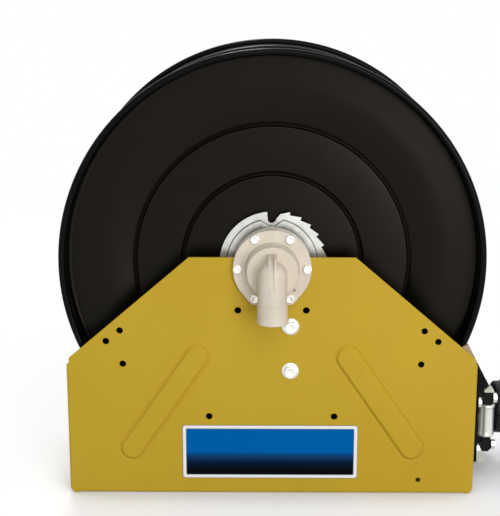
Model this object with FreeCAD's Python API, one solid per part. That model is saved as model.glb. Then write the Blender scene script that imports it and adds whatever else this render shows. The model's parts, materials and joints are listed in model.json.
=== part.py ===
import FreeCAD
import Part
import math
import os

V = FreeCAD.Vector

# Driving dimensions in millimetres. X points to the hose outlet, Y from the inlet side to the spring
# side, Z up. The origin is the middle of the four floor bolts, on the underside of the frame.

# Frame
FRAME_WIDTH = 691.0
FRAME_DEPTH = 279.0
SHEET = 4.0
RIM_RADIUS = 355.6
RIM_FLOOR_GAP = 43.9
HUB_HEIGHT = RIM_RADIUS + RIM_FLOOR_GAP
TOP_ABOVE_HUB = 16.8
PANEL_TOP = HUB_HEIGHT + TOP_ABOVE_HUB
TOP_EDGE = 275.0
SHOULDER_HEIGHT = 242.0
LIP_TOP = 229.5
LIP_DEPTH = 8.0
FOOT_DEPTH = 45.0
BEND_RADIUS = 5.0
CORNER_RADIUS = 13.0
CORNER_CUT = 8.0
NOTCH_RADIUS = 46.0
PANEL_HOLE = 11.5
ARM_HOLES = [(254.1, 290.7), (277.6, 272.1), (250.2, 232.6)]
SPARE_HOLES = [(105.7, 139.5), (56.8, 326.1)]
DRAIN_HOLE = (251.0, 25.0)
DRAIN_DIAMETER = 8.7
RIB_TOP = (124.7, 254.3)
RIB_FOOT = (240.3, 77.7)
RIB_WIDTH = 31.0
RIB_RISE = 4.0
RIB_WALL = 3.5
RIB_CREASE = 1.5
RIB_CREASE_DEPTH = 0.8
RIB_STEPS = ((0.0, 0.0), (0.22, 0.1), (0.78, 0.9), (1.0, 1.0))
LABEL_WIDTH = 298.0
LABEL_HEIGHT = 96.0
LABEL_CENTRE = (-2.5, 76.0)
LABEL_THICKNESS = 1.0
FLOOR_BOLT_X = 290.0
FLOOR_BOLT_INSET = 22.5
FLOOR_BOLT_Y = FRAME_DEPTH / 2 - FLOOR_BOLT_INSET
FLOOR_BOLT_HOLE = 14.5
BASE_BOLT_X = (-185.0, 0.0, 185.0)
BASE_END = 22.0
BASE_LIP = 26.0
BRACE_X = 330.0
BRACE_FOOT = 30.0
BRACE_HEIGHT = 80.0
BRACE_EAR = 32.0

# Spool
RIM_INSET = 20.1
RIM_SPACING = FRAME_DEPTH - 2 * RIM_INSET
BEAD_DIAMETER = 11.5
DISH_DEPTH = 30.0
DISC_SHEET = 2.5
STEP_HEIGHT = 3.5
OUTER_STEP_MARGIN = 12.6
INNER_STEP_MARGIN = 7.0
STEP_RUN = 3.2
DRUM_RADIUS = 140.0
DRUM_WALL = 3.0
AXLE_RADIUS = 20.0
AXLE_BORE = 12.5
HUB_FLANGE_RADIUS = 68.0
HUB_FLANGE = 8.0
HUB_BOSS_RADIUS = 32.0
HUB_BOLT_CIRCLE = 55.0
RUNNING_FIT = 0.05
NEAR_BOSS_LENGTH = 25.4
FAR_BOSS_LENGTH = 34.0
FAR_BOSS_PROUD = 7.6
PORT_INSET = 51.4
RISER_RADIUS = 16.0
RISER_SHOE = 24.0
RISER_SHOE_RISE = 12.0

# Ratchet and pawl
RATCHET_TIP = 91.6
RATCHET_ROOT = 86.2
RATCHET_RIM = 87.6
RATCHET_SHEET = 5.0
RATCHET_CUP = 76.0
RATCHET_CUP_RISE = 3.0
RATCHET_CUP_BEVEL = 0.6
TOOTH_PITCH = 360.0 / 28
FIRST_TIP = 18.9
TIPS = 6
NOTCH_EDGE = [(71.5, -5.7), (68.6, -3.0), (68.6, 1.0), (71.3, 3.8), (77.5, 5.8), (84.5, 9.0)]
RIM_START = 92.0
NOTCH_START = 174.2
CUP_DIP = [(76.0, -15.0), (70.7, -11.8), (65.6, -7.6), (63.4, -1.9), (65.3, 5.4), (71.1, 9.6), (76.0, 13.6)]
PAWL_X = 31.0
PAWL_NOSE = 16.4
PAWL_CLEARANCE = 1.746
PAWL_REACH = RATCHET_RIM + PAWL_NOSE + PAWL_CLEARANCE
PAWL_HEIGHT = HUB_HEIGHT - math.sqrt(PAWL_REACH ** 2 - PAWL_X ** 2)
PAWL_LEAN = 58.0
PAWL_BOSS = 9.5
PAWL_TAIL = 28.0
PAWL_SHEET = 6.0
PAWL_PIN = 6.0
SPRING_BOLT_DROP = 178.6
SPRING_BOLT_HEIGHT = HUB_HEIGHT - SPRING_BOLT_DROP
SPRING_GROOVE = 1.5
SPRING_RADIUS = 5.5
SPRING_WIRE = 1.5
SPRING_HOOK = 12.0
PAWL_EYE_EDGE = 6.5
LATCH_FLANGE = 29.0

# Inlet side
FLANGE_RADIUS = 64.5
FLANGE_THICKNESS = 10.0
FLANGE_BOLT_CIRCLE = 57.5
FLANGE_BOLTS = 6
LUG_RADIUS = 11.0
BOSS_RADIUS = 42.2
BOSS_RISE = 26.0
BOSS_BEVEL = 1.4
BOSS_FILLET = 3.0
BEARING_RADIUS = 40.0
BEARING_WIDTH = 18.0
BEARING_LIP = 2.5
ELBOW_RADIUS = 24.0
NECK_RADIUS = 20.0
ELBOW_FORWARD = 19.5
COLLAR_RADIUS = 24.8
COLLAR_HEIGHT = 31.0
INLET_DROP = 78.2
INLET_HEIGHT = HUB_HEIGHT - INLET_DROP
INLET_RADIUS = 15.2
INLET_DEPTH = 25.0
GUSSET_WIDTH = 14.0
GUSSET_GROOVE = 4.5
GUSSET_CREST = [(19.5, 31.6), (-7.0, 25.4), (-23.4, 4.0)]
GUSSET_FLOOR = [(19.5, 29.0), (10.0, 28.1), (0.0, 25.0), (-9.0, 19.9), (-16.0, 13.0), (-20.5, 5.0),
                (-22.5, -4.0), (-23.0, -13.0), (-23.3, -20.0), (-24.2, -28.5)]
INDEX_HOLE = 2.2
BOLT_M8 = 8.0
HEAD_M8 = 13.0

# Spring side
CASE_RADIUS = DRUM_RADIUS - 20.0
CASE_GAP = 11.1
CASE_WALL = 2.5
CASE_FLANGE = CASE_RADIUS + 18.0
CASE_BOLT_CIRCLE = CASE_RADIUS + 9.0
CASE_BOLTS = 6
COVER = 2.0
SPRING_STRIP = 2.0
SPRING_PITCH = 16.0
SPRING_TURNS = 4
ARBOR_BOSS = 34.0
ARBOR_BOSS_LENGTH = 14.0
ARBOR_PROUD = 2.5

# Hose
HOSE_DIAMETER = 38.0
LAYER = HOSE_DIAMETER + 0.2
HOSE_GAP = 0.4
TURN_PITCH = HOSE_DIAMETER + 0.6
TURN_SHIFT = 34.5
FULL_TURNS = 2
RISE_ANGLE = 90.0
SHIFT_ANGLE = 60.0
START_ANGLE = -88.0
HOSE_SIDES = 10
GUIDE_POINT = (372.0, 0.0, 107.5)
LEAD_STRAIGHT = 160.0
TAIL_ROUTE = [(484.0, 0.0, 107.5), (553.8, 1.5, 86.2), (614.3, 5.0, 45.4), (684.0, 11.0, 24.0), (750.0, 19.0, 24.0)]
STOP_PROFILE = [(0.0, 40.0), (4.0, 48.0), (14.0, 54.0)]
STOP_RADIUS = 54.0
STOP_LENGTH = 62.0
STOP_START = 396.3
FERRULE_RADIUS = 23.0
FERRULE_LENGTH = 55.0
NIPPLE_RADIUS = 16.7
NIPPLE_LENGTH = 40.0
NIPPLE_HEX = 41.0

# Roller guide
ARM_SHEET = 4.0
ARM_GAP = 4.5
ARM_Y = FRAME_DEPTH / 2 - SHEET - ARM_GAP
ARM_EDGE = 351.0
ARM_OUTLINE = [(329.0, 266.0), (366.0, 194.0), (357.0, 184.0), (351.0, 184.0), (351.0, 55.0), (326.0, 55.0),
               (238.0, 214.0), (238.0, 300.0), (258.0, 302.0), (312.0, 256.0)]
ARM_FLANGE_END = 62.0
GUIDE_PLATE = 6.0
GUIDE_HALF = 88.0
GUIDE_BOTTOM = 46.0
GUIDE_TOP = 168.0
WINDOW_HALF = 32.0
WINDOW_BOTTOM = 70.0
WINDOW_TOP = 146.0
CHUTE_SHEET = 4.0
CHUTE_HALF = 60.0
CHUTE_LIP = 3.0
CHUTE_TOP = 157.0
CHUTE_LOW = 48.0
EAR_SHEET = 4.0
EAR_INSIDE = 41.0
EAR_REACH = 31.0
ROLLER_RADIUS = 14.9
ROLLER_PIN = 5.0
ROLLER_END_GAP = 0.3
ROLLER_X = 381.0
ROLLER_Y = 43.4
ROLLER_BOTTOM = 68.0
ROLLER_TOP = 132.0
CROSS_ROLLER_X = 335.5
CROSS_ROLLER_Z = (61.0, 155.0)
BAR_WIDTH = 17.0
BAR_HEIGHT = 23.0
BAR_HALF = 59.4
BAR_CHAMFER = 6.0
BAR_BOLT_Y = 54.0
BAR_BOLT_NUT = 15.0
SIDE_BOLT_Y = 73.4
SIDE_BOLT_Z = (56.0, 142.0)

OUTER_Y = -FRAME_DEPTH / 2
INNER_Y = OUTER_Y + SHEET
HALF_WIDTH = FRAME_WIDTH / 2
DISC_FACE_Y = RIM_SPACING / 2 - DISH_DEPTH
HUB_FACE_Y = DISC_FACE_Y + 2 * STEP_HEIGHT
FAR_BOSS_END = HUB_FACE_Y + FAR_BOSS_PROUD
FAR_BOSS_START = FAR_BOSS_END - FAR_BOSS_LENGTH
PORT_Y = PORT_INSET - HUB_FACE_Y
CASE_DEPTH = -INNER_Y - HUB_FACE_Y - CASE_GAP
FIRST_TURN_Y = DISC_SHEET - DISC_FACE_Y + HOSE_DIAMETER / 2 + HOSE_GAP
RESTING_TURN_Y = FIRST_TURN_Y + TURN_SHIFT
RATCHET_BACK_Y = -(HUB_FACE_Y + HUB_FLANGE)
RATCHET_FRONT_Y = RATCHET_BACK_Y - RATCHET_SHEET
CUP_FRONT_Y = RATCHET_FRONT_Y - RATCHET_CUP_RISE
PAWL_FRONT_Y = RATCHET_FRONT_Y - 0.5
SWIVEL_FRONT_Y = OUTER_Y - FLANGE_THICKNESS
BOSS_FACE_Y = SWIVEL_FRONT_Y - BOSS_RISE
INLET_Y = BOSS_FACE_Y - ELBOW_FORWARD
ARBOR_END = ARBOR_BOSS_LENGTH + ARBOR_PROUD - SWIVEL_FRONT_Y
BEARING_END_Y = OUTER_Y + BEARING_WIDTH
CORE_TOPS = (DRUM_RADIUS + LAYER, DRUM_RADIUS + 2 * LAYER)
OUTER_STEP_RADIUS = CORE_TOPS[1] + OUTER_STEP_MARGIN
INNER_STEP_RADIUS = DRUM_RADIUS + INNER_STEP_MARGIN
CHANNEL_RADIUS = CORE_TOPS[0] + HOSE_DIAMETER / 2 + HOSE_GAP
LAYER_RADIUS = CORE_TOPS[1] + HOSE_DIAMETER / 2 + HOSE_GAP
CHANNEL_WALL_Y = FIRST_TURN_Y + HOSE_DIAMETER / 2 + HOSE_GAP
GUIDE_FACE = ARM_EDGE + GUIDE_PLATE
CHUTE_FACE = GUIDE_FACE + CHUTE_SHEET
BAR_X = ROLLER_X - BAR_WIDTH / 2


def block(x0, x1, y0, y1, z0, z1):
    return Part.makeBox(x1 - x0, y1 - y0, z1 - z0, V(x0, y0, z0))


def cylinder(radius, start, end):
    start = V(*start)
    along = V(*end) - start
    return Part.makeCylinder(radius, along.Length, start, along)


def cone(radius0, radius1, start, end):
    start = V(*start)
    along = V(*end) - start
    return Part.makeCone(radius0, radius1, along.Length, start, along)


def along_y(radius, y0, y1, x=0.0, z=HUB_HEIGHT):
    return cylinder(radius, (x, y0, z), (x, y1, z))


def ring_y(outer, inner, y0, y1, x=0.0, z=HUB_HEIGHT):
    return along_y(outer, y0, y1, x, z).cut(along_y(inner, y0, y1, x, z))


def polygon(points):
    return Part.Face(Part.makePolygon(points + [points[0]]))


def prism_y(points, y0, y1):
    face = polygon([V(x, y0, z) for x, z in points])
    return face.extrude(V(0, y1 - y0, 0))


def hexagon(across, start, end):
    start = V(*start)
    along = V(*end) - start
    side = V(0, 0, 1).cross(along)
    if side.Length < 1e-6:
        side = V(1, 0, 0)
    side.normalize()
    other = along.cross(side)
    other.normalize()
    reach = across / 2 / math.cos(math.pi / 6)
    corners = []
    for i in range(6):
        turn = math.pi / 3 * i
        corners.append(start + side * (reach * math.cos(turn)) + other * (reach * math.sin(turn)))
    return polygon(corners).extrude(along)


def polar(radius, clockwise, y=0.0):
    turn = math.radians(clockwise)
    return V(radius * math.sin(turn), y, HUB_HEIGHT + radius * math.cos(turn))


def around(radius, count, first=0.0):
    places = []
    for i in range(count):
        turn = math.radians(first + 360.0 / count * i)
        places.append((radius * math.cos(turn), HUB_HEIGHT + radius * math.sin(turn)))
    return places


def fused(shapes):
    result = shapes[0]
    for shape in shapes[1:]:
        result = result.fuse(shape)
    return result.removeSplitter()


def without(shape, tools):
    for tool in tools:
        shape = shape.cut(tool)
    return shape


def rounded(shape, radius, wanted):
    edges = [edge for edge in shape.Edges if wanted(edge.BoundBox)]
    return shape.makeFillet(radius, edges)


def bevelled(shape, size, wanted):
    edges = [edge for edge in shape.Edges if wanted(edge.BoundBox)]
    return shape.makeChamfer(size, edges)


def mirrored(shape):
    return shape.mirror(V(0, 0, 0), V(0, 1, 0))


def turned(profile):
    face = polygon([V(0, y, HUB_HEIGHT + radius) for y, radius in profile])
    return face.revolve(V(0, 0, HUB_HEIGHT), V(0, 1, 0), 360)


def bolt(across, head, diameter, start, end):
    """A hexagon bolt whose head stands behind start and whose shank runs from start to end."""
    begin = V(*start)
    along = V(*end) - begin
    back = V(along)
    back.normalize()
    back = begin - back * head
    return hexagon(across, tuple(back), start).fuse(cylinder(diameter / 2, start, end))


def nut(across, thickness, diameter, start, direction):
    begin = V(*start)
    end = begin + V(*direction) * thickness
    return hexagon(across, start, tuple(end)).cut(cylinder(diameter / 2, start, tuple(end)))


# Frame panels

def panel_outline():
    shoulder = HALF_WIDTH - SHEET - 0.6
    relief = LIP_TOP + SHEET
    right = [V(HALF_WIDTH, 0, CORNER_RADIUS), V(HALF_WIDTH, 0, LIP_TOP), V(shoulder, 0, relief),
             V(shoulder, 0, SHOULDER_HEIGHT), V(TOP_EDGE / 2, 0, PANEL_TOP)]
    left = [V(-TOP_EDGE / 2, 0, PANEL_TOP), V(-shoulder, 0, SHOULDER_HEIGHT), V(-shoulder, 0, relief),
            V(-HALF_WIDTH, 0, LIP_TOP), V(-HALF_WIDTH, 0, CORNER_CUT), V(CORNER_CUT - HALF_WIDTH, 0, 0)]
    corner_end = V(HALF_WIDTH - CORNER_RADIUS, 0, 0)
    diagonal = CORNER_RADIUS * (1 - math.sqrt(0.5))
    corner = Part.Arc(corner_end, V(HALF_WIDTH - diagonal, 0, diagonal), right[0])
    edges = [Part.makePolygon(right + left + [corner_end]), corner.toShape()]
    face = Part.Face(Part.Wire(edges))
    face.translate(V(0, OUTER_Y - 1, 0))
    return face.extrude(V(0, FOOT_DEPTH + 2, 0))


def folded_sheet():
    """The flat of a side panel with its two upright lips and its foot, all with bent corners."""
    deep = OUTER_Y + LIP_DEPTH + BEND_RADIUS
    inside = BEND_RADIUS - SHEET
    outer = block(-HALF_WIDTH, HALF_WIDTH, OUTER_Y, deep, 0, PANEL_TOP)
    outer = rounded(outer, BEND_RADIUS, lambda box: box.ZLength > PANEL_TOP / 2 and box.YMax < INNER_Y)
    inner = block(SHEET - HALF_WIDTH, HALF_WIDTH - SHEET, INNER_Y, deep, 0, PANEL_TOP)
    inner = rounded(inner, inside, lambda box: box.ZLength > PANEL_TOP / 2 and box.YMax < INNER_Y + 1)
    lipped = outer.cut(inner).common(block(-HALF_WIDTH, HALF_WIDTH, OUTER_Y, OUTER_Y + LIP_DEPTH, 0, PANEL_TOP))
    foot_x = HALF_WIDTH - CORNER_RADIUS
    lipped = lipped.cut(block(-foot_x, foot_x, OUTER_Y - 1, INNER_Y + 1, -1, BEND_RADIUS))
    foot = block(-foot_x, foot_x, OUTER_Y, OUTER_Y + FOOT_DEPTH, 0, 2 * CORNER_RADIUS)
    foot = rounded(foot, BEND_RADIUS, lambda box: box.XLength > foot_x and box.YMax < INNER_Y and box.ZMax < 1)
    hollow = block(-foot_x, foot_x, INNER_Y, OUTER_Y + FOOT_DEPTH, SHEET, 2 * CORNER_RADIUS)
    hollow = rounded(hollow, inside,
                     lambda box: box.XLength > foot_x and box.YMax < INNER_Y + 1 and box.ZMax < SHEET + 1)
    return fused([lipped, foot.cut(hollow)]).common(panel_outline())


def capsule(start, end, width, y):
    a = V(start[0], y, start[1])
    b = V(end[0], y, end[1])
    along = (b - a).normalize()
    across = V(-along.z, 0, along.x) * (width / 2)
    ahead = along * (width / 2)
    edges = [Part.LineSegment(a + across, b + across), Part.Arc(b + across, b + ahead, b - across),
             Part.LineSegment(b - across, a - across), Part.Arc(a - across, a - ahead, a + across)]
    return Part.Wire([edge.toShape() for edge in edges])


def rib(side, width, y):
    """A raised stiffening rib with soft flanks, or the pocket behind it: it leans as the shoulder does."""
    start = (side * RIB_TOP[0], RIB_TOP[1])
    end = (side * RIB_FOOT[0], RIB_FOOT[1])
    wires = [capsule(start, end, width - 2 * RIB_WALL * share, y - RIB_RISE * rise) for share, rise in RIB_STEPS]
    return Part.makeLoft(wires, True, True)


def rib_crease(side):
    """A shallow line round the rib, where the sheet was drawn into the stamp."""
    start = (side * RIB_TOP[0], RIB_TOP[1])
    end = (side * RIB_FOOT[0], RIB_FOOT[1])
    rings = []
    for width in (RIB_WIDTH + 2 * RIB_CREASE, RIB_WIDTH):
        face = Part.Face(capsule(start, end, width, OUTER_Y - 1))
        rings.append(face.extrude(V(0, 1 + RIB_CREASE_DEPTH, 0)))
    return rings[0].cut(rings[1])


def side_panel(near):
    panel = folded_sheet()
    for side in (-1, 1):
        panel = panel.fuse(rib(side, RIB_WIDTH, OUTER_Y))
    tools = [rib(side, RIB_WIDTH - RIB_WALL, INNER_Y) for side in (-1, 1)]
    tools += [rib_crease(side) for side in (-1, 1)]
    tools.append(along_y(NOTCH_RADIUS, OUTER_Y - 1, INNER_Y + 1))
    tools.append(block(-NOTCH_RADIUS, NOTCH_RADIUS, OUTER_Y - 1, INNER_Y + 1, HUB_HEIGHT, PANEL_TOP + 1))
    for x, z in SPARE_HOLES:
        tools += [along_y(PANEL_HOLE / 2, OUTER_Y - 1, INNER_Y + 1, side * x, z) for side in (-1, 1)]
    for x, z in ARM_HOLES:
        tools.append(along_y(PANEL_HOLE / 2, OUTER_Y - 1, INNER_Y + 1, -x, z))
        tools.append(cone(PANEL_HOLE / 2, PANEL_HOLE / 4, (x, OUTER_Y, z), (x, INNER_Y, z)))
    for x, z in around(FLANGE_BOLT_CIRCLE, FLANGE_BOLTS):
        if z < PANEL_TOP:
            tools.append(along_y(BOLT_M8 / 2 + 0.5, OUTER_Y - 1, INNER_Y + 1, x, z))
    if near:
        tools.append(along_y(PAWL_PIN, OUTER_Y - 1, INNER_Y + 1, PAWL_X, PAWL_HEIGHT))
        tools.append(along_y(PAWL_PIN, OUTER_Y - 1, INNER_Y + 1, PAWL_X, SPRING_BOLT_HEIGHT))
        tools.append(along_y(DRAIN_DIAMETER / 2, OUTER_Y - 1, INNER_Y + 1, *DRAIN_HOLE))
    for x in (-FLOOR_BOLT_X, FLOOR_BOLT_X):
        tools.append(cylinder(FLOOR_BOLT_HOLE / 2, (x, -FLOOR_BOLT_Y, -1), (x, -FLOOR_BOLT_Y, SHEET + 1)))
    for x in BASE_BOLT_X:
        tools.append(cone(BOLT_M8, BOLT_M8 / 2, (x, -FLOOR_BOLT_Y, 0), (x, -FLOOR_BOLT_Y, SHEET)))
    return without(panel, tools).removeSplitter()


def base_plate():
    """The floor of the frame: it lies on the feet of both panels and turns up at its two ends."""
    end = HALF_WIDTH - BASE_END
    half = -INNER_Y - (BEND_RADIUS - SHEET) - 0.5
    plate = block(-end, end, -half, half, SHEET, SHEET + BASE_LIP)
    plate = rounded(plate, BEND_RADIUS, lambda box: box.YLength > FRAME_DEPTH / 2 and box.ZMax < SHEET + 1)
    tools = [block(SHEET - end, end - SHEET, -half, half, 2 * SHEET, SHEET + BASE_LIP)]
    for side in (-1, 1):
        for x in (-FLOOR_BOLT_X, FLOOR_BOLT_X):
            tools.append(cylinder(FLOOR_BOLT_HOLE / 2, (x, side * FLOOR_BOLT_Y, 0), (x, side * FLOOR_BOLT_Y, 20)))
        for x in BASE_BOLT_X:
            tools.append(cylinder(BOLT_M8 / 2, (x, side * FLOOR_BOLT_Y, 0), (x, side * FLOOR_BOLT_Y, 20)))
    return without(plate, tools)


def base_bolts():
    bolts = []
    for side in (-1, 1):
        for x in BASE_BOLT_X:
            y = side * FLOOR_BOLT_Y
            head = cone(BOLT_M8, BOLT_M8 / 2, (x, y, 0), (x, y, SHEET))
            shank = cylinder(BOLT_M8 / 2, (x, y, SHEET), (x, y, 2 * SHEET + BOLT_M8))
            bolts.append(fused([head, shank, hexagon(HEAD_M8, (x, y, 2 * SHEET), (x, y, 2 * SHEET + 6.5))]))
    return bolts


def end_brace():
    """A cross channel at the closed end; its ears lie flat on the inside of both panels."""
    outer = block(-BRACE_X, BRACE_EAR - BRACE_X, INNER_Y, -INNER_Y, BRACE_FOOT, BRACE_FOOT + BRACE_HEIGHT)
    outer = rounded(outer, BEND_RADIUS, lambda box: box.ZLength > BRACE_HEIGHT / 2 and box.XMax < 1 - BRACE_X)
    inner = block(SHEET - BRACE_X, BRACE_EAR - BRACE_X, INNER_Y + SHEET, -INNER_Y - SHEET,
                  BRACE_FOOT, BRACE_FOOT + BRACE_HEIGHT)
    return outer.cut(inner)


def label_plate():
    x0 = LABEL_CENTRE[0] - LABEL_WIDTH / 2
    z0 = LABEL_CENTRE[1] - LABEL_HEIGHT / 2
    plate = block(x0, x0 + LABEL_WIDTH, OUTER_Y - LABEL_THICKNESS, OUTER_Y, z0, z0 + LABEL_HEIGHT)
    return rounded(plate, SHEET, lambda box: box.XLength < 1 and box.ZLength < 1)


# Inlet swivel and bearing housing

def bolt_circle_holes(radius, y0, y1, places):
    return [along_y(radius, y0, y1, x, z) for x, z in places]


def bearing_housing():
    """A cast housing behind the panel, with a land above the panel's edge that fills its thickness."""
    flange = along_y(FLANGE_RADIUS, INNER_Y, INNER_Y + FLANGE_THICKNESS)
    barrel = along_y(NOTCH_RADIUS - 0.3, OUTER_Y, BEARING_END_Y + BEARING_LIP)
    clear = PANEL_TOP + 0.5
    land = along_y(FLANGE_RADIUS, OUTER_Y, INNER_Y).common(
        block(-FLANGE_RADIUS, FLANGE_RADIUS, OUTER_Y, INNER_Y, clear, HUB_HEIGHT + FLANGE_RADIUS))
    tools = [along_y(BEARING_RADIUS, OUTER_Y, BEARING_END_Y),
             along_y(BEARING_RADIUS - 4, OUTER_Y, BEARING_END_Y + BEARING_LIP)]
    tools += bolt_circle_holes(BOLT_M8 / 2, OUTER_Y, 0, around(FLANGE_BOLT_CIRCLE, FLANGE_BOLTS))
    return without(fused([flange, barrel, land]), tools)


def near_bearing():
    groove = (BEARING_RADIUS + AXLE_RADIUS) / 2
    race = ring_y(BEARING_RADIUS, AXLE_RADIUS + RUNNING_FIT, OUTER_Y, BEARING_END_Y)
    face_ring = ring_y(groove + 4, groove - 4, OUTER_Y, OUTER_Y + 1)
    return race.cut(face_ring)


def ball(radius):
    return Part.makeSphere(radius, V(0, INLET_Y, HUB_HEIGHT))


def waterway():
    """The bore: forward through the boss into a round chamber, then straight down."""
    forward = along_y(AXLE_BORE, INLET_Y, SWIVEL_FRONT_Y)
    down = cylinder(AXLE_BORE, (0, INLET_Y, HUB_HEIGHT), (0, INLET_Y, INLET_HEIGHT))
    return [forward, ball(AXLE_BORE), down]


def gusset_prism(edges, half):
    face = Part.Face(Part.Wire(edges))
    face.translate(V(-half, 0, 0))
    return face.extrude(V(2 * half, 0, 0))


def gusset():
    """The casting's web from the boss over the knuckle; it runs out into the knuckle's front."""
    places = [V(0, INLET_Y + y, HUB_HEIGHT + z) for y, z in GUSSET_CREST]
    corner = V(0, places[0].y, places[2].z)
    crest = Part.Arc(*places).toShape()
    return gusset_prism([crest, Part.makePolygon([places[2], corner, places[0]])], GUSSET_WIDTH / 2)


def gusset_groove():
    """The groove along the web's crest, which goes on as a shallow crease down the leg."""
    floor = [V(0, INLET_Y + y, HUB_HEIGHT + z) for y, z in GUSSET_FLOOR]
    clear = HUB_HEIGHT + GUSSET_CREST[0][1] + 1
    front = INLET_Y + GUSSET_FLOOR[-1][0] - 4
    outside = [V(0, front, floor[-1].z), V(0, front, clear), V(0, BOSS_FACE_Y, clear)]
    return gusset_prism([Part.makePolygon(floor + outside + [floor[0]])], GUSSET_GROOVE / 2)


def flange_lug(x, z):
    """A bolt lug that stands past the round flange, with straight sides that run onto its edge."""
    towards = V(x, 0, z - HUB_HEIGHT).normalize()
    across = V(-towards.z, 0, towards.x)
    share = (FLANGE_RADIUS - LUG_RADIUS) / FLANGE_BOLT_CIRCLE
    rise = math.sqrt(1 - share * share)
    hub = V(0, SWIVEL_FRONT_Y, HUB_HEIGHT)
    bolt_place = V(x, SWIVEL_FRONT_Y, z)
    before = towards * share - across * rise
    after = towards * share + across * rise
    web = polygon([hub, hub + before * FLANGE_RADIUS, bolt_place + before * LUG_RADIUS,
                   bolt_place + after * LUG_RADIUS, hub + after * FLANGE_RADIUS])
    return [web.extrude(V(0, FLANGE_THICKNESS, 0)), along_y(LUG_RADIUS, SWIVEL_FRONT_Y, OUTER_Y, x, z)]


def swivel_body():
    flange = along_y(FLANGE_RADIUS, SWIVEL_FRONT_Y, OUTER_Y)
    lugs = []
    for x, z in around(FLANGE_BOLT_CIRCLE, FLANGE_BOLTS):
        if z < HUB_HEIGHT - LUG_RADIUS:
            lugs += flange_lug(x, z)
    boss = along_y(BOSS_RADIUS, BOSS_FACE_Y, SWIVEL_FRONT_Y)
    boss = bevelled(boss, BOSS_BEVEL, lambda box: box.YMax < BOSS_FACE_Y + 0.1)
    foot = cone(BOSS_RADIUS + BOSS_FILLET, BOSS_RADIUS + 0.9, (0, SWIVEL_FRONT_Y, HUB_HEIGHT),
                (0, SWIVEL_FRONT_Y - 0.9, HUB_HEIGHT))
    foot = foot.fuse(cone(BOSS_RADIUS + 0.9, BOSS_RADIUS, (0, SWIVEL_FRONT_Y - 0.9, HUB_HEIGHT),
                          (0, SWIVEL_FRONT_Y - BOSS_FILLET, HUB_HEIGHT)))
    neck = along_y(NECK_RADIUS, INLET_Y, SWIVEL_FRONT_Y)
    leg = cylinder(ELBOW_RADIUS, (0, INLET_Y, HUB_HEIGHT), (0, INLET_Y, INLET_HEIGHT))
    collar = cylinder(COLLAR_RADIUS, (0, INLET_Y, INLET_HEIGHT), (0, INLET_Y, INLET_HEIGHT + COLLAR_HEIGHT))
    knuckle = fused([neck, leg, ball(ELBOW_RADIUS), collar, gusset()]).cut(gusset_groove())
    body = fused([flange] + lugs + [boss, foot, knuckle])
    tools = waterway()
    tools += [along_y(AXLE_RADIUS + 0.5, OUTER_Y - 11, OUTER_Y), along_y(AXLE_RADIUS + 6, OUTER_Y - 6, OUTER_Y),
              cylinder(INLET_RADIUS, (0, INLET_Y, INLET_HEIGHT), (0, INLET_Y, INLET_HEIGHT + INLET_DEPTH)),
              along_y(INDEX_HOLE, SWIVEL_FRONT_Y, SWIVEL_FRONT_Y + 5, 36.0, HUB_HEIGHT - 36.0)]
    tools += bolt_circle_holes(BOLT_M8 / 2, SWIVEL_FRONT_Y, OUTER_Y, around(FLANGE_BOLT_CIRCLE, FLANGE_BOLTS))
    return without(body, tools)


def swivel_bolts():
    bolts = []
    for x, z in around(FLANGE_BOLT_CIRCLE, FLANGE_BOLTS):
        bolts.append(bolt(HEAD_M8, 5.5, BOLT_M8, (x, SWIVEL_FRONT_Y, z), (x, INNER_Y + FLANGE_THICKNESS, z)))
    return bolts


def swivel_seal():
    return ring_y(AXLE_RADIUS + 6, AXLE_RADIUS + RUNNING_FIT, OUTER_Y - 6, OUTER_Y)


# Spool

def disc():
    """A spun disc: two stamped steps towards the hub, a dished wall and a rolled bead at the rim."""
    face = -DISC_FACE_Y
    rim = -RIM_SPACING / 2
    wall = RIM_RADIUS - BEAD_DIAMETER
    outside = [(face - 2 * STEP_HEIGHT, HUB_BOSS_RADIUS)]
    outside.append((face - 2 * STEP_HEIGHT, INNER_STEP_RADIUS - STEP_RUN / 2))
    outside.append((face - STEP_HEIGHT, INNER_STEP_RADIUS + STEP_RUN / 2))
    outside.append((face - STEP_HEIGHT, OUTER_STEP_RADIUS - STEP_RUN / 2))
    outside.append((face, OUTER_STEP_RADIUS + STEP_RUN / 2))
    outside.append((face, wall - 13))
    outside.append((face - 8, wall - 3))
    outside.append((rim + 3, wall))
    inside = [(y + DISC_SHEET, radius + (DISC_SHEET if radius > wall - 8 else 0)) for y, radius in reversed(outside)]
    inside[0] = (rim + 3, wall + DISC_SHEET)
    sheet = turned(outside + inside)
    bead = []
    for i in range(8):
        turn = math.pi / 4 * (i + 0.5)
        reach = BEAD_DIAMETER / 2 / math.cos(math.pi / 8)
        bead.append((rim + reach * math.cos(turn), RIM_RADIUS - BEAD_DIAMETER / 2 + reach * math.sin(turn)))
    result = fused([sheet, turned(bead)])
    return without(result, bolt_circle_holes(BOLT_M8 / 2, -FRAME_DEPTH / 2, 0, around(HUB_BOLT_CIRCLE, 6, 30)))


def far_disc():
    result = mirrored(disc())
    holes = around(CASE_BOLT_CIRCLE, CASE_BOLTS)
    return without(result, bolt_circle_holes(BOLT_M8 / 2, 0, FRAME_DEPTH / 2, holes))


def drum():
    end = HUB_FACE_Y - DISC_SHEET
    tube = ring_y(DRUM_RADIUS, DRUM_RADIUS - DRUM_WALL, -end, end)
    return tube.cut(cylinder(RISER_RADIUS, (0, PORT_Y, HUB_HEIGHT), (0, PORT_Y, HUB_HEIGHT + 2 * DRUM_RADIUS)))


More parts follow.
